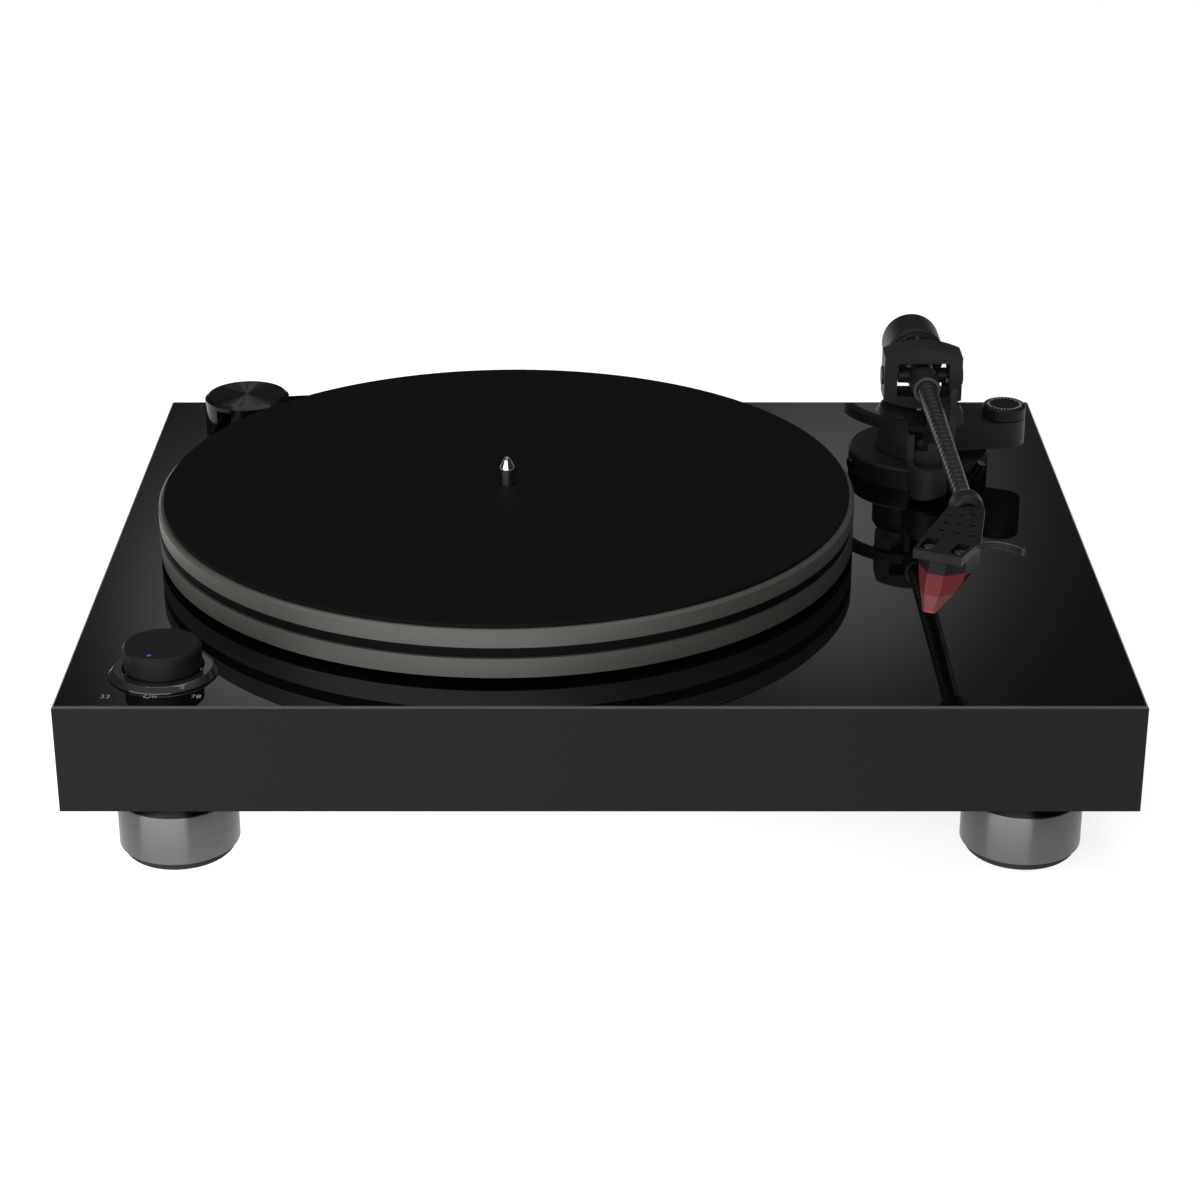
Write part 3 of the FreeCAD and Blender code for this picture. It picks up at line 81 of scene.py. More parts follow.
class Shader:
    """A Principled material and short ways to add nodes to it."""

    def __init__(self, name, color, roughness, metallic=0.0, **sockets):
        self.material = bpy.data.materials.new(name)
        self.material.use_nodes = True
        self.tree = self.material.node_tree
        self.surface = self.tree.nodes["Principled BSDF"]
        self.put("Base Color", color)
        self.put("Roughness", roughness)
        self.put("Metallic", metallic)
        for socket, value in sockets.items():
            self.put(socket.replace("_", " "), value)
        self.position = self.add("ShaderNodeTexCoord").outputs["Object"]

    def put(self, socket, value):
        """Set a constant on the surface's own socket; a colour gets its alpha."""
        slot = self.surface.inputs[socket]
        slot.default_value = (*value, 1) if slot.type == "RGBA" else value

    def add(self, kind, **settings):
        node = self.tree.nodes.new(kind)
        for name, value in settings.items():
            setattr(node, name, value)
        return node

    def link(self, output, target):
        self.tree.links.new(output, target)

    def math(self, operation, first, second=0.0, third=0.0):
        node = self.add("ShaderNodeMath", operation=operation)
        for slot, value in zip(node.inputs, (first, second, third)):
            if isinstance(value, (int, float)):
                slot.default_value = value
            else:
                self.link(value, slot)
        return node.outputs[0]

    def noise(self, scale, detail=3.0, vector=None, stretch=(1, 1, 1), roughness=0.5):
        """A noise value from 0 to 1; scale is in features per metre."""
        mapping = self.add("ShaderNodeMapping")
        mapping.inputs["Scale"].default_value = [scale * s for s in stretch]
        self.link(vector or self.position, mapping.inputs["Vector"])
        node = self.add("ShaderNodeTexNoise")
        node.inputs["Scale"].default_value = 1.0
        node.inputs["Detail"].default_value = detail
        node.inputs["Roughness"].default_value = roughness
        self.link(mapping.outputs[0], node.inputs["Vector"])
        return node.outputs["Fac"]

    def polar(self, centre):
        """Cylindrical coordinates about an upright axis: (angle in radians, radius, height)."""
        shift = self.add("ShaderNodeVectorMath", operation="SUBTRACT")
        shift.inputs[1].default_value = centre
        self.link(self.position, shift.inputs[0])
        split = self.add("ShaderNodeSeparateXYZ")
        self.link(shift.outputs[0], split.inputs[0])
        angle = self.math("ARCTAN2", split.outputs[1], split.outputs[0])
        flat = self.math("ADD", self.math("MULTIPLY", split.outputs[0], split.outputs[0]),
                         self.math("MULTIPLY", split.outputs[1], split.outputs[1]))
        return angle, self.math("SQRT", flat), split.outputs[2]

    def vector(self, x, y, z):
        node = self.add("ShaderNodeCombineXYZ")
        for slot, value in zip(node.inputs, (x, y, z)):
            if isinstance(value, (int, float)):
                slot.default_value = value
            else:
                self.link(value, slot)
        return node.outputs[0]

    def spread(self, value, low, high, socket):
        """Drive a socket between two numbers by a 0 to 1 value."""
        node = self.add("ShaderNodeMapRange")
        node.inputs["To Min"].default_value = low
        node.inputs["To Max"].default_value = high
        self.link(value, node.inputs["Value"])
        self.link(node.outputs[0], self.surface.inputs[socket])

    def tint(self, value, low, high, start=0.3, end=0.7):
        """Colour the surface between two colours by a value."""
        ramp = self.add("ShaderNodeValToRGB")
        for element, place, color in zip(ramp.color_ramp.elements, (start, end), (low, high)):
            element.position = place
            element.color = (*color, 1)
        self.link(value, ramp.inputs["Fac"])
        self.link(ramp.outputs["Color"], self.surface.inputs["Base Color"])

    def bump(self, value, depth, strength=1.0):
        """Relief of a depth in metres."""
        node = self.add("ShaderNodeBump")
        node.inputs["Strength"].default_value = strength
        node.inputs["Distance"].default_value = depth
        self.link(value, node.inputs["Height"])
        self.link(node.outputs[0], self.surface.inputs["Normal"])


# ---------------------------------------------------------------- materials

def lacquer(name, ior):
    """Piano-black lacquer: a mirror with the faintest waviness and hairlines."""
    s = Shader(name, (0.0015, 0.0015, 0.0016), 0.02, IOR=ior)
    s.spread(s.noise(9000, 2, stretch=(0.02, 1, 1)), 0.01, 0.04, "Roughness")
    s.bump(s.noise(60, 1), 0.000003)
    return s.material


def anodised(name, color, roughness=0.42, grain=5200, depth=0.000012, ior=1.38):
    """Bead-blasted, anodised aluminium."""
    s = Shader(name, color, roughness, IOR=ior)
    fine = s.noise(grain, 3)
    broad = s.noise(90, 2)
    s.tint(broad, [c * 0.88 for c in color], [c * 1.12 for c in color])
    s.spread(s.math("MULTIPLY", fine, broad), roughness - 0.07, roughness + 0.16, "Roughness")
    s.bump(fine, depth)
    return s.material


def glossy(name, color, roughness, ior):
    """Polished black anodising: a smooth skin with faint orange peel."""
    s = Shader(name, color, roughness, IOR=ior)
    s.tint(s.noise(120, 2), [c * 0.9 for c in color], [c * 1.1 for c in color])
    s.spread(s.noise(1500, 2), roughness * 0.6, roughness * 1.5, "Roughness")
    s.bump(s.noise(900, 1), 0.0000008)
    return s.material


def moulded(name, color, roughness=0.5, ior=1.38):
    """Moulded plastic with a fine spark-eroded texture."""
    s = Shader(name, color, roughness, IOR=ior)
    cells = s.add("ShaderNodeTexVoronoi")
    cells.inputs["Scale"].default_value = 3600
    s.link(s.position, cells.inputs["Vector"])
    s.spread(s.noise(700, 3), roughness - 0.08, roughness + 0.12, "Roughness")
    s.tint(s.noise(150, 2), [c * 0.9 for c in color], [c * 1.1 for c in color])
    s.bump(cells.outputs["Distance"], 0.00001, 0.6)
    return s.material


def turned_metal(name, color, roughness, centre, across=26000, depth=0.0000015, spin=0.55,
                 metallic=1.0):
    """Metal turned on a lathe about an upright axis: fine circles round it."""
    s = Shader(name, color, roughness, metallic, Anisotropic=spin, Anisotropic_Rotation=0.25)
    angle, away, height = s.polar(centre)
    rings = s.noise(1, 3, s.vector(s.math("MULTIPLY", angle, 1.2), s.math("MULTIPLY", away, across),
                                   s.math("MULTIPLY", height, across)), roughness=0.65)
    broad = s.noise(40, 2)
    s.tint(rings, [c * 0.82 for c in color], [c * 1.16 for c in color], 0.25, 0.75)
    s.spread(s.math("ADD", s.math("MULTIPLY", rings, 0.6), s.math("MULTIPLY", broad, 0.4)),
             roughness - 0.06, roughness + 0.1, "Roughness")
    s.bump(rings, depth)
    tangent = s.add("ShaderNodeTangent", direction_type="RADIAL", axis="Z")
    s.link(tangent.outputs[0], s.surface.inputs["Tangent"])
    return s.material


def plain_metal(name, color, roughness):
    """Machined metal with no single brushing direction."""
    s = Shader(name, color, roughness, 1.0)
    s.tint(s.noise(900, 3), [c * 0.88 for c in color], [c * 1.1 for c in color])
    s.spread(s.noise(2600, 3), roughness - 0.05, roughness + 0.1, "Roughness")
    s.bump(s.noise(9000, 2), 0.000002)
    return s.material


def elastomer(name, color, roughness=0.75):
    """Rubber: matte, faintly mottled and dusty."""
    s = Shader(name, color, roughness, IOR=1.4, Sheen_Weight=0.02, Sheen_Roughness=0.4)
    s.tint(s.noise(400, 4), [c * 0.85 for c in color], [c * 1.25 for c in color])
    s.spread(s.noise(260, 3), roughness - 0.08, roughness + 0.08, "Roughness")
    s.bump(s.noise(5200, 3), 0.00002)
    return s.material


def mat_rubber():
    """The platter's mat: dead black, with the finest grain."""
    s = Shader("mat_rubber", (0.0048, 0.0048, 0.0049), 0.66, IOR=1.12)
    grain = s.noise(5200, 4, roughness=0.6)
    s.tint(s.noise(30, 3), (0.0046, 0.0046, 0.0047), (0.005, 0.005, 0.0051))
    s.spread(s.noise(900, 3), 0.6, 0.74, "Roughness")
    s.bump(grain, 0.000035)
    return s.material


def turned_disc(name, color, roughness):
    """A disc face turned on a lathe, whose fine circles throw rays of light from its centre; light
    and dark sectors round the centre are also painted into its colour as painted reflection rays.
    """
    s = Shader(name, color, roughness, 1.0, Anisotropic=0.9, Anisotropic_Rotation=0.25)
    angle, away, height = s.polar((0, 0, 0))
    painted_rays = s.noise(1, 2, s.vector(s.math("MULTIPLY", s.math("SINE", angle), 5),
                                     s.math("MULTIPLY", s.math("COSINE", angle), 5), 0.0))
    circles = s.noise(1, 3, s.vector(angle, s.math("MULTIPLY", away, 9000), 0.0))
    # light and dark sectors by angle, painted into the colour: painted reflection rays
    s.tint(painted_rays, [c * 0.6 for c in color], [c * 1.5 for c in color], 0.38, 0.62)
    s.spread(circles, roughness - 0.05, roughness + 0.08, "Roughness")
    s.bump(circles, 0.000001)
    tangent = s.add("ShaderNodeTangent", direction_type="RADIAL", axis="Z")
    s.link(tangent.outputs[0], s.surface.inputs["Tangent"])
    return s.material


def carbon():
    """Wound carbon fibre."""
    s = Shader("wound_carbon", (0.0125, 0.0125, 0.0129), 0.36, IOR=1.42)
    s.tint(s.noise(3000, 2, stretch=(1, 0.2, 1)), (0.008, 0.008, 0.0084), (0.018, 0.018, 0.0186))
    s.bump(s.noise(7000, 2, stretch=(1, 0.3, 1)), 0.00001)
    return s.material


def red_plastic():
    """Clear red plastic of the stylus unit, paler below its seam and palest at its foot."""
    s = Shader("stylus_red", (0.1, 0.012, 0.014), 0.4, IOR=1.16)
    split = s.add("ShaderNodeSeparateXYZ")
    s.link(s.position, split.inputs[0])
    height = s.add("ShaderNodeMapRange")
    height.inputs["From Min"].default_value = STYLUS_FOOT
    height.inputs["From Max"].default_value = STYLUS_FOOT + STYLUS_HEIGHT
    s.link(split.outputs[2], height.inputs["Value"])
    ramp = s.add("ShaderNodeValToRGB")
    stops = ramp.color_ramp.elements
    stops[0].position, stops[0].color = 0.0, (0.3, 0.032, 0.034, 1)
    stops[1].position, stops[1].color = 1.0, (0.105, 0.016, 0.018, 1)
    for place, color in ((0.07, (0.12, 0.04, 0.042, 1)), (0.3, (0.13, 0.036, 0.038, 1)),
                         (0.43, (0.14, 0.038, 0.04, 1)), (0.45, (0.115, 0.016, 0.018, 1))):
        stop = stops.new(place)
        stop.color = color
    s.link(height.outputs[0], ramp.inputs["Fac"])
    s.link(ramp.outputs["Color"], s.surface.inputs["Base Color"])
    s.spread(s.noise(1800, 2), 0.24, 0.38, "Roughness")
    s.bump(s.noise(1, 2, s.vector(0.0, 0.0, s.math("MULTIPLY", split.outputs[2], 2600))), 0.00002)
    return s.material


def solder_mask():
    """A circuit board: green mask over copper tracks."""
    s = Shader("board_green", (0.01, 0.09, 0.04), 0.3, IOR=1.5, Coat_Weight=0.6,
               Coat_Roughness=0.15)
    bricks = s.add("ShaderNodeTexBrick")
    bricks.inputs["Scale"].default_value = 260
    bricks.inputs["Mortar Size"].default_value = 0.06
    s.link(s.position, bricks.inputs["Vector"])
    s.tint(bricks.outputs["Fac"], (0.008, 0.075, 0.034), (0.03, 0.16, 0.07))
    s.bump(bricks.outputs["Fac"], 0.00003)
    return s.material


def paint(name, color):
    """Screen-printed ink, a little uneven."""
    s = Shader(name, color, 0.5, IOR=1.45)
    s.tint(s.noise(2600, 3), [c * 0.85 for c in color], color)
    s.bump(s.noise(6000, 2), 0.000005)
    return s.material


LOOKS = {
    "lacquer": lacquer("side_lacquer", 1.3),
    "deck_lacquer": lacquer("deck_lacquer", 1.54),
    "black": anodised("black_anodised", (0.0075, 0.0075, 0.0078), 0.46, ior=1.26),
    "arm_black": anodised("arm_black", (0.0082, 0.0082, 0.0085), 0.48, 6400, 0.000008, 1.3),
    "dial_black": anodised("dial_black", (0.006, 0.006, 0.0062), 0.48, 6400, 0.000008, 1.25),
    "head_black": anodised("head_black", (0.0068, 0.0068, 0.007), 0.46, 6400, 0.000008, 1.28),
    "yoke_black": anodised("yoke_black", (0.0125, 0.0125, 0.0129), 0.5, 6400, 0.000008, 1.3),
    "bar_black": anodised("bar_black", (0.0035, 0.0035, 0.0036), 0.5, 6400, 0.000008, 1.25),
    "cap_wall": glossy("cap_gloss", (0.004, 0.004, 0.0042), 0.1, 1.26),
    # A lighter black laid on edges and chamfers as a painted highlight.
    "edge_highlight_black": anodised("painted_edge_highlight", (0.05, 0.05, 0.051), 0.36),
    "black_metal": anodised("powder_coat", (0.014, 0.014, 0.0145), 0.5, 2400, 0.00003),
    "plastic": moulded("black_plastic", (0.0115, 0.0115, 0.012)),
    "grey_plastic": moulded("cartridge_grey", (0.009, 0.009, 0.0094), 0.45, 1.18),
    "rubber": elastomer("black_rubber", (0.009, 0.009, 0.0094)),
    "belt": moulded("belt_rubber", (0.0026, 0.0026, 0.0026), 0.6, 1.15),
    "lever_black": glossy("lever_black", (0.0015, 0.0015, 0.0016), 0.25, 1.25),
    "mat": mat_rubber(),
    "platter": turned_metal("platter_aluminium", (0.083, 0.0805, 0.072), 0.45, PLATTER,
                            metallic=0.35),
    "feet": turned_metal("foot_aluminium", (0.15, 0.152, 0.154), 0.32, (0, 0, 0), 9000, spin=1.0),
    "polished": plain_metal("polished_steel", (0.62, 0.62, 0.63), 0.12),
    "steel": plain_metal("satin_steel", (0.42, 0.42, 0.42), 0.32),
    "screw": plain_metal("screw_steel", (0.16, 0.16, 0.16), 0.34),
    "silver": plain_metal("silver_aluminium", (0.5, 0.49, 0.47), 0.3),
    "brass": plain_metal("turned_brass", (0.2, 0.145, 0.06), 0.45),
    "gold": plain_metal("gold_plating", (0.8, 0.55, 0.2), 0.18),
    "ring": glossy("gloss_ring", (0.012, 0.012, 0.0124), 0.07, 1.6),
    "cap_top": turned_disc("cap_top_black", (0.05, 0.05, 0.0515), 0.34),
    "carbon": carbon(),
    "red": red_plastic(),
    "board": solder_mask(),
    "white_ink": paint("white_ink", (0.5, 0.5, 0.5)),
    "dim_ink": paint("dim_ink", (0.16, 0.16, 0.16)),
    "blue_dot": paint("blue_dot", (0.02, 0.11, 0.62)),
    "wire_white": paint("wire_white", (0.75, 0.74, 0.7)),
    "wire_green": paint("wire_green", (0.12, 0.55, 0.05)),
    "wire_red": paint("wire_red", (0.5, 0.03, 0.03)),
    "wire_blue": paint("wire_blue", (0.03, 0.08, 0.4)),
}
NODE_LOOKS = {
    "plinth": "lacquer", "bottom_cover": "black_metal", "case_screws": "steel",
    "foot_shells": "feet", "foot_pads": "rubber", "foot_necks": "rubber", "foot_bolts": "steel",
    "bearing_housing": "brass", "thrust_ball": "polished", "deck_screws": "steel",
    "motor_body": "steel", "motor_plate": "steel", "cap_gasket": "rubber",
    "motor_cap": "cap_wall", "drive_belt": "belt", "knob_ring": "ring",
    "rotary_switch": "plastic", "circuit_board": "board", "board_parts": "plastic",
    "connector_plate": "black_metal", "phono_sockets": "gold", "power_inlet": "plastic",
    "arm_base": "arm_black", "arm_base_nut": "steel", "internal_cables": "rubber",
    "platter": "platter", "platter_mat": "mat", "spindle_hub": "silver", "hub_screws": "steel",
    "spindle": "polished", "motor_shaft": "steel", "motor_pulley": "silver",
    "speed_knob": "black", "knob_shaft": "steel", "ground_nut": "gold",
    "lock_lever": "lever_black", "arm_pillar": "arm_black", "arm_bearings": "steel",
    "antiskate_arm": "arm_black", "lift_pod": "plastic", "antiskate_dial": "dial_black",
    "lift_bar": "bar_black", "cue_lever": "plastic", "arm_spindle": "steel",
    "gimbal_yoke": "yoke_black", "gimbal_bearings": "black_metal",
    "base_set_screw": "lever_black", "arm_block": "arm_black", "arm_tube": "carbon",
    "headshell": "head_black", "cartridge_screws": "steel", "finger_lift": "arm_black",
    "cartridge_body": "grey_plastic", "stylus_unit": "red", "stylus_cantilever": "steel",
    "cartridge_leads": "wire_white", "headshell_collar": "arm_black", "weight_bush": "brass",
    "counterweight": "arm_black", "force_scale_ring": "arm_black",
}
# The bevels of these nodes get the lighter black: a painted highlight on their edges.
HIGHLIGHT_EDGED = {"headshell", "finger_lift"}        # nodes whose rounded edges catch the light
# On the plinth, faces that look up near the deck: flat ones get the deck's lacquer, and leaning ones
# are its chamfer, which gets the lighter black as a painted highlight.
CHAMFER_ZONE = 0.002
LEANING = 0.2
FLAT = 0.9


def dress_cad():
    """Give every CAD node its material and small real radii on its edges."""
    for name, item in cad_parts.items():
        item.data.materials.clear()
        item.data.materials.append(LOOKS[NODE_LOOKS[name]])
        if name == "plinth":
            item.data.materials.append(LOOKS["deck_lacquer"])
            # the third slot: a lighter black on the chamfer, a painted highlight
            item.data.materials.append(LOOKS["edge_highlight_black"])
            for face in item.data.polygons:
                if face.center.z > DECK - CHAMFER_ZONE and face.normal.z > LEANING:
                    face.material_index = 1 if face.normal.z > FLAT else 2
        weld = item.modifiers.new("weld", "WELD")
        weld.merge_threshold = 0.000002
        bevel = item.modifiers.new("edges", "BEVEL")
        bevel.width = 0.00022
        bevel.segments = 2
        bevel.limit_method = "ANGLE"
        bevel.angle_limit = math.radians(38)
        bevel.use_clamp_overlap = True
        # Their bevels take the lighter black as a painted highlight.
        if name in HIGHLIGHT_EDGED:
            item.data.materials.append(LOOKS["edge_highlight_black"])
            bevel.material = len(item.data.materials) - 1
        normals = item.modifiers.new("normals", "WEIGHTED_NORMAL")
        normals.keep_sharp = True


# ---------------------------------------------------------------- new pieces

def piece(name, mesh, look, body, at=None, replaces=()):
    """An object made from a mesh, at a place given as a point or a matrix, riding on a body."""
    item = bpy.data.objects.new(name, mesh)
    bpy.context.scene.collection.objects.link(item)
    if isinstance(at, Matrix):
        item.matrix_world = at
    elif at is not None:
        item.location = at
    mesh.materials.append(LOOKS[look])
    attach(item, body)
    for node in replaces:
        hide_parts(node)
    return item


def close_mesh(name, bm):
    """Finish a bmesh: outward normals, smooth faces and sharp edges where it turns."""
    bmesh.ops.remove_doubles(bm, verts=bm.verts, dist=1e-7)
    bmesh.ops.recalc_face_normals(bm, faces=bm.faces)
    for face in bm.faces:
        face.smooth = True
    for edge in bm.edges:
        edge.smooth = len(edge.link_faces) == 2 and edge.calc_face_angle() < math.radians(30)
    mesh = bpy.data.meshes.new(name)
    bm.to_mesh(mesh)
    bm.free()
    return mesh


def lathe_mesh(name, profile, segments=128):
    """A closed solid of revolution about +Z from (radius, height) points, from axis to axis."""
    bm = bmesh.new()
    loops = []
    for away, height in profile:
        count = segments if away > 0 else 1
        loops.append([bm.verts.new((away * math.cos(math.tau * i / count),
                                    away * math.sin(math.tau * i / count), height))
                      for i in range(count)])
    for low, high in zip(loops, loops[1:]):
        for i in range(segments):
            corners = [low[i % len(low)], low[(i + 1) % len(low)],
                       high[(i + 1) % len(high)], high[i % len(high)]]
            bm.faces.new(list(dict.fromkeys(corners)))
    return close_mesh(name, bm)


def ring_profile(profile):
    """Close a profile that never meets the axis by repeating its first point."""
    return profile + profile[:1]


def box_into(bm, matrix, x, y, z):
    """Add a box with the given half sizes to a bmesh, under a matrix."""
    made = bmesh.ops.create_cube(bm, size=2.0)
    bmesh.ops.transform(bm, verts=made["verts"], matrix=matrix @ Matrix.Diagonal((x, y, z, 1)))


def label(name, text, x, y, height, body="plinth_assembly", turn=0, level=DECK, look="white_ink"):
    """Flat printed text, read from the front unless turned."""
    curve = bpy.data.curves.new(name, "FONT")
    curve.body = text
    curve.size = height
    curve.align_x = "CENTER"
    curve.align_y = "CENTER"
    curve.extrude = 0.00002
    curve.offset = -height * 0.027
    item = bpy.data.objects.new(name, curve)
    bpy.context.scene.collection.objects.link(item)
    item.matrix_world = Matrix.Translation((x, y, level + 0.00003)) @ Matrix.Rotation(turn, 4, "Z")
    item.data.materials.append(LOOKS[look])
    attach(item, body)
    return item


def make_feet():
    """Four aluminium shells with brushed sides and a small radius at each rim."""
    low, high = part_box("foot_shells")
    edge = (high.x - low.x) / 2
    reach = 23.9 * MM
    pad = 22.1 * MM
    bore = 2.62 * MM
    step = low.z
    recess, ceiling, shoulder = 6.2 * MM, 10.3 * MM, 4.7 * MM
    profile = [(pad, recess), (pad, step), (reach - 0.0006, step), (reach - 0.0002, step + 0.0002),
               (reach, step + 0.0006), (reach, high.z - 0.0009), (reach - 0.00025, high.z - 0.0003),
               (reach - 0.0009, high.z), (bore, high.z), (bore, ceiling), (shoulder, ceiling),
               (shoulder, recess)]
    for i, (side, end) in enumerate(((-1, -1), (1, -1), (1, 1), (-1, 1))):
        place = (side * (edge - reach), end * ((high.y - low.y) / 2 - reach), 0)
        piece(f"foot_shell_{i}", lathe_mesh(f"foot_shell_{i}", ring_profile(profile), 192), "feet",
              "plinth_assembly", place, ["foot_shells"])


def make_cap_top():
    """The turned face let into the top of the motor cap, inside its polished bevel."""
    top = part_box("motor_cap")[1].z
    reach = radius("motor_cap") - 1.65 * MM
    profile = [(0, 0.00006), (reach - 0.0001, 0.00006), (reach, 0), (reach, -0.0002), (0, -0.0002)]
    piece("cap_face", lathe_mesh("cap_face", profile, 160), "cap_top", "plinth_assembly",
          (CAP.x, CAP.y, top))


def make_knob_dot():
    """The coloured dot near the rim of the speed knob, turned towards the word Off."""
    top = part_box("speed_knob")[1].z
    turn = math.radians(17.5)
    away = 11.3 * MM
    place = (KNOB.x - away * math.sin(turn), KNOB.y - away * math.cos(turn), top)
    profile = [(0, 0.00008), (0.00075, 0.00006), (0.00092, 0), (0.00092, -0.0002), (0, -0.0002)]
    piece("knob_dot", lathe_mesh("knob_dot", profile, 32), "blue_dot", "speed_selector", place)


def make_dial_marks():
    """Fine ticks and small figures round the top of the anti-skating dial."""
    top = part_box("antiskate_dial")[1].z
    ticks, figures = 30, 5
    tick_circle, figure_circle = 7.4 * MM, 7.3 * MM
    bm = bmesh.new()
    for i in range(ticks):
        angle = math.tau * i / ticks
        if i % (ticks // figures) == 0:
            continue
        long = 0.0009 if i % 3 == 0 else 0.0006
        at = Matrix.Rotation(angle, 4, "Z") @ Matrix.Translation((tick_circle, 0, 0))
        box_into(bm, at, long, 0.0002, 0.00004)
    piece("dial_ticks", close_mesh("dial_ticks", bm), "white_ink", "antiskate_dial",
          (DIAL.x, DIAL.y, top))
    for i in range(figures):
        angle = math.tau * i / figures
        label(f"dial_figure_{i}", str(i), DIAL.x + figure_circle * math.cos(angle),
              DIAL.y + figure_circle * math.sin(angle), 0.003, "antiskate_dial",
              angle - math.pi / 2, top)


def on_arm(ahead):
    """A matrix whose +Z runs along the arm, at a distance ahead of its pivot."""
    turn = AHEAD.to_track_quat("Z", "X").to_matrix().to_4x4()
    return Matrix.Translation(PIVOT + AHEAD * ahead) @ turn


def make_arm_tube():
    """The tapered carbon tube, wound in a helix that stands out as fine ribs."""
    start, end, knee = 12 * MM, 163.5 * MM, 158 * MM
    ribs_from, ribs_to = 20 * MM, 160.4 * MM
    root, tip = 4.45, 3.6
    pitch, relief = 5.2 * MM, 0.32 * MM
    along, around = 760, 56
    bm = bmesh.new()
    loops = []
    for i in range(along + 1):
        place = start + (end - start) * i / along
        taper = min(1.0, (place - start) / (knee - start))
        away = (root + (tip - root) * taper) * MM
        sunk = 0.0 if ribs_from < place < ribs_to else 1.0
        loop = []
        for k in range(around):
            angle = math.tau * k / around
            phase = (place / pitch + k / around) % 1.0
            dip = relief * max(0.0, 1 - 4.5 * abs(phase - 0.5)) ** 1.3
            r = away - dip * (1 - sunk) - 0.00004 * sunk
            loop.append(bm.verts.new((r * math.cos(angle), r * math.sin(angle), place - start)))
        loops.append(loop)
    for low, high in zip(loops, loops[1:]):
        for k in range(around):
            bm.faces.new((low[k], low[(k + 1) % around], high[(k + 1) % around], high[k]))
    bm.faces.new(loops[0][::-1])
    bm.faces.new(loops[-1])
    piece("carbon_tube", close_mesh("carbon_tube", bm), "carbon", "tonearm", on_arm(start),
          ["arm_tube"])


def make_arm_rings():
    """Pale rings on the turned edges at the front of the pivot block's collar and the back of the
    nut: painted highlights in the lighter black.
    """
    rings = (("collar_edge_highlight", 21.5, 4.75, 6.0, "tonearm"),
             ("nut_edge_highlight", 162.0, 6.7, 6.86, "headshell_collar"))
    for name, ahead, inner, outer, body in rings:
        profile = [(inner * MM, 0), (outer * MM, 0), ((outer + 0.06) * MM, 0.0002),
                   ((outer - 0.1) * MM, 0.00042), ((inner + 0.1) * MM, 0.00042)]
        piece(name, lathe_mesh(name, ring_profile(profile), 96), "edge_highlight_black", body,
              on_arm(ahead * MM))


def make_head_screws():
    """Two slotted screws in the headshell, and their shanks down into the cartridge."""
    top, spacing = 48.1 * MM, 6.35 * MM
    half_slot, reach, depth = 0.00026, 2.3 * MM, 0.0007
    under, shank, foot = -0.0016, 0.00125, -0.0071
    count = 24
    swing = math.asin(half_slot / reach)
    for side, turn in ((-1, 25), (1, -35)):
        bm = bmesh.new()
        for flip in (0, math.pi):
            arc = [swing + (math.pi - 2 * swing) * i / count + flip for i in range(count + 1)]
            rim = [Vector((reach * math.cos(a), reach * math.sin(a), 0)) for a in arc]
            levels = []
            for height, shrink in ((-depth, 1), (-0.0002, 1), (0, 0.93)):
                level = []
                for v in rim:
                    across = shrink if abs(v.y) > half_slot * 1.5 else 1
                    level.append(bm.verts.new((v.x * shrink, v.y * across, height)))
                levels.append(level)
            for low, high in zip(levels, levels[1:]):
                for i in range(len(rim)):
                    j = (i + 1) % len(rim)
                    bm.faces.new((low[i], low[j], high[j], high[i]))
            bm.faces.new(levels[0][::-1])
            bm.faces.new(levels[-1])
        name = "head_screw_left" if side < 0 else "head_screw_right"
        halves = close_mesh(name, bm)
        profile = [(0, -depth), (reach, -depth), (reach, under), (shank, under), (shank, foot),
                   (0, foot)]
        base = lathe_mesh(name + "_base", profile, 48)
        spot = Matrix.Translation((side * spacing, 0, top))
        place = HEAD @ spot @ Matrix.Rotation(math.radians(turn), 4, "Z")
        piece(name, halves, "screw", "tonearm", place, ["cartridge_screws"])
        piece(name + "_shank", base, "steel", "tonearm", place, ["cartridge_screws"])


def make_leads():
    """Four coloured leads from the arm's neck to the pins at the back of the cartridge."""
    for look, x, height, start in (("wire_white", -3, 39, -1.5), ("wire_green", 3, 39, 1.5),
                                   ("wire_blue", -3, 42, -0.6), ("wire_red", 3, 42, 0.6)):
        points = [(x, 22.1, height), (x, 26, height), (x * 0.5 - 3.5 + start, 33, height + 1),
                  (start - 5.4, 40, 44.6)]
        curve = bpy.data.curves.new(look, "CURVE")
        curve.dimensions = "3D"
        curve.bevel_depth = 0.35 * MM
        curve.bevel_resolution = 3
        curve.use_fill_caps = True
        spline = curve.splines.new("NURBS")
        spline.points.add(len(points) - 1)
        for point, where in zip(spline.points, points):
            place = HEAD @ (Vector(where) * MM)
            point.co = (*place, 1)
        spline.order_u = 3
        spline.use_endpoint_u = True
        item = bpy.data.objects.new(look + "_lead", curve)
        bpy.context.scene.collection.objects.link(item)
        curve.materials.append(LOOKS[look])
        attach(item, "tonearm")
        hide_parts("cartridge_leads")


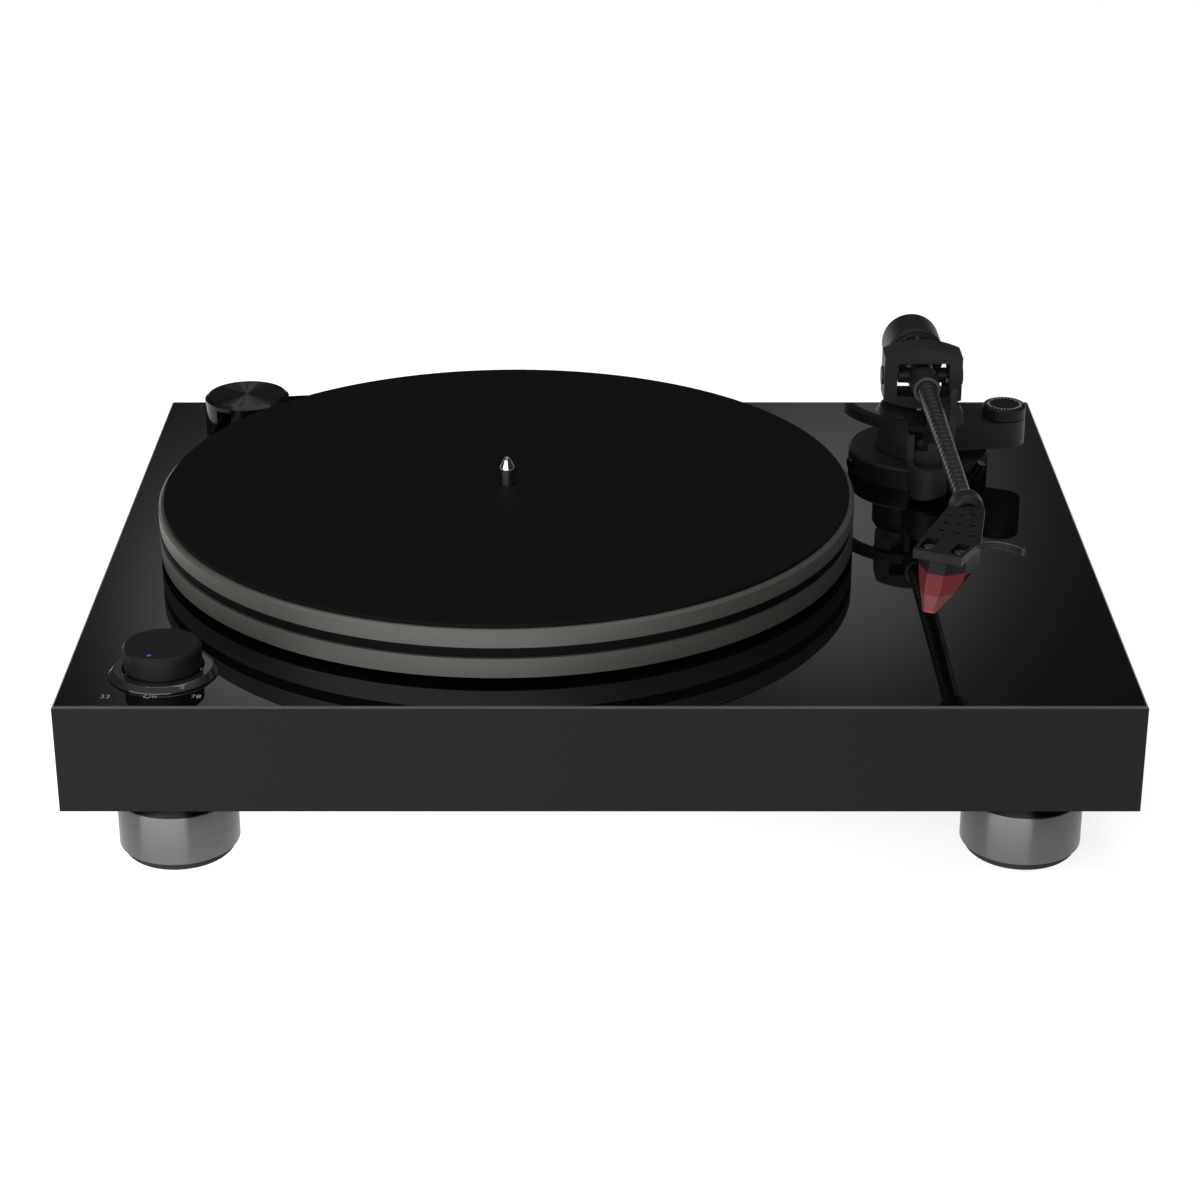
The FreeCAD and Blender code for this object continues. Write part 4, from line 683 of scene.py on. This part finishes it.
def make_weight_marks():
    """The ticks of the tracking-force scale on the front face of its ring, and its zero."""
    face, ticks, circle = -22 * MM, 12, 11.5 * MM
    for i in range(ticks):
        turn = Matrix.Rotation(math.tau * i / ticks, 4, "Z")
        at = on_arm(face) @ turn @ Matrix.Translation((circle, 0, 0))
        bm = bmesh.new()
        box_into(bm, Matrix.Identity(4), 0.00035, 0.00008, 0.00004)
        piece(f"scale_tick_{i}", close_mesh(f"scale_tick_{i}", bm), "dim_ink", "force_scale_ring",
              at)
    profile = [(0.0005, -0.00002), (0.00078, -0.00002), (0.00078, 0.00005), (0.0005, 0.00005)]
    up = on_arm(face).to_3x3().inverted() @ Vector((0, 0, 1))
    up = Vector((up.x, up.y, 0)).normalized() * 10.4 * MM
    piece("scale_zero", lathe_mesh("scale_zero", ring_profile(profile), 32), "dim_ink",
          "force_scale_ring", on_arm(face) @ Matrix.Translation(up))


def make_lever_cap():
    """The turned end of the height-lock lever, made pale with the lighter black of the painted edge
    highlights.
    """
    angle = math.radians(-54.5)
    away, lift, long = 35.2 * MM, 3.8 * MM, 11 * MM
    foot = Vector((ARM.x + away * math.cos(angle), ARM.y + away * math.sin(angle), DECK + lift))
    way = Vector((4.8, -2.5, 10.1)).normalized()
    profile = [(0, 0.00012), (0.0017, 0.00012), (0.00188, 0), (0.00188, -0.0003), (0, -0.0003)]
    turn = way.to_track_quat("Z", "X").to_matrix().to_4x4()
    piece("lever_end", lathe_mesh("lever_end", profile, 48), "edge_highlight_black", "lock_lever",
          Matrix.Translation(foot + way * long) @ turn)


def make_camera():
    """The camera looks down 24 degrees from in front, over the plinth's middle."""
    data = bpy.data.cameras.new("camera")
    tilt = 24.076
    data.sensor_width = 36
    data.lens = 85.37
    item = bpy.data.objects.new("camera", data)
    item.location = (0, -1.1457, 0.5541)
    item.rotation_euler = (math.radians(90 - tilt), 0, 0)
    bpy.context.scene.collection.objects.link(item)
    bpy.context.scene.camera = item


def softbox(name, place, target, width, height, radiance):
    """A rectangular light that looks equally bright whatever its size."""
    data = bpy.data.lights.new(name, "AREA")
    data.shape = "RECTANGLE"
    data.size = width
    data.size_y = height
    data.energy = radiance * math.pi * width * height
    item = bpy.data.objects.new(name, data)
    item.location = place
    item.rotation_euler = (Vector(target) - Vector(place)).to_track_quat("-Z", "Y").to_euler()
    bpy.context.scene.collection.objects.link(item)
    return item


class Room:
    """The world's light as a function of direction."""

    def __init__(self):
        self.world = bpy.data.worlds.new("room")
        bpy.context.scene.world = self.world
        self.world.use_nodes = True
        self.tree = self.world.node_tree
        split = self.tree.nodes.new("ShaderNodeSeparateXYZ")
        source = self.tree.nodes.new("ShaderNodeTexCoord").outputs["Generated"]
        self.tree.links.new(source, split.inputs[0])
        degrees = 180 / math.pi
        round_z = self.math("ARCTAN2", split.outputs[0], split.outputs[1])
        self.azimuth = self.math("MULTIPLY", round_z, degrees)
        self.height = self.math("MULTIPLY", self.math("ARCSINE", split.outputs[2]), degrees)
        self.total = None

    def math(self, operation, first, second=0.0):
        node = self.tree.nodes.new("ShaderNodeMath")
        node.operation = operation
        for slot, value in zip(node.inputs, (first, second)):
            if isinstance(value, (int, float)):
                slot.default_value = value
            else:
                self.tree.links.new(value, slot)
        return node.outputs[0]

    def add(self, value):
        self.total = value if self.total is None else self.math("ADD", self.total, value)

    def base(self, low, high, start, end):
        """A level that rises between two elevations."""
        node = self.tree.nodes.new("ShaderNodeMapRange")
        node.interpolation_type = "SMOOTHSTEP"
        limits = {"From Min": start, "From Max": end, "To Min": low, "To Max": high}
        for socket, value in limits.items():
            node.inputs[socket].default_value = value
        self.tree.links.new(self.height, node.inputs["Value"])
        self.add(node.outputs[0])

    def glow(self, azimuth, height, wide, tall, peak):
        """A soft patch of light round a direction, in degrees; azimuth 0 is straight behind."""
        across = self.math("DIVIDE", self.math("SUBTRACT", self.azimuth, azimuth), wide)
        up = self.math("DIVIDE", self.math("SUBTRACT", self.height, height), tall)
        square = self.math("ADD", self.math("MULTIPLY", across, across),
                           self.math("MULTIPLY", up, up))
        fall = self.math("EXPONENT", self.math("MULTIPLY", square, -0.5))
        self.add(self.math("MULTIPLY", fall, peak))

    def finish(self):
        background = self.tree.nodes["Background"]
        background.inputs["Strength"].default_value = 1.0
        self.tree.links.new(self.total, background.inputs["Color"])


def make_studio():
    """A back-lit white table, a dim room with soft glows behind the player, and soft boxes."""
    half = 12
    corners = [(-half, -half, 0), (half, -half, 0), (half, half, 0), (-half, half, 0)]
    mesh = bpy.data.meshes.new("floor")
    mesh.from_pydata(corners, [], [(0, 1, 2, 3)])
    floor = bpy.data.objects.new("floor", mesh)
    bpy.context.scene.collection.objects.link(floor)
    look = Shader("light_table", (0.3, 0.3, 0.3), 0.9, IOR=1.2, Emission_Color=(1.0, 1.0, 1.0))
    look.tint(look.noise(3, 2), (0.29, 0.29, 0.29), (0.31, 0.31, 0.31))
    split = look.add("ShaderNodeSeparateXYZ")
    look.link(look.position, split.inputs[0])
    slope, middle_level, dimmest, brightest = -0.9, 0.97, 0.84, 1.18
    level = look.math("MULTIPLY_ADD", split.outputs[0], slope, middle_level)
    level = look.math("MINIMUM", look.math("MAXIMUM", level, dimmest), brightest)
    look.link(level, look.surface.inputs["Emission Strength"])
    mesh.materials.append(look.material)

    room = Room()
    room.base(0.034, 0.4, 32, 60)
    room.glow(5.1, 22.5, 2.13, 2.15, 0.45)
    room.glow(-7.5, 24.4, 1.83, 1.96, 0.6)
    room.finish()
    softbox("front", (-0.64, -1.4, 0.62), (0, 0, 0.05), 2.6, 0.95, 4.2)
    softbox("top", (0, 0.3, 2.6), (0, 0, 0), 2.4, 2.0, 1.9)


bpy.context.scene.view_settings.view_transform = "Standard"
make_camera()
make_studio()
dress_cad()
make_feet()
make_cap_top()
make_knob_dot()
make_dial_marks()
make_arm_tube()
make_arm_rings()
make_head_screws()
make_leads()
make_weight_marks()
make_lever_cap()
for name, text, x in (("mark_33", "33", -0.0194), ("mark_off", "Off", -0.0021),
                      ("mark_78", "78", 0.0156)):
    label(name, text, KNOB.x + x, FRONT_MARKS, MARK_HEIGHT)
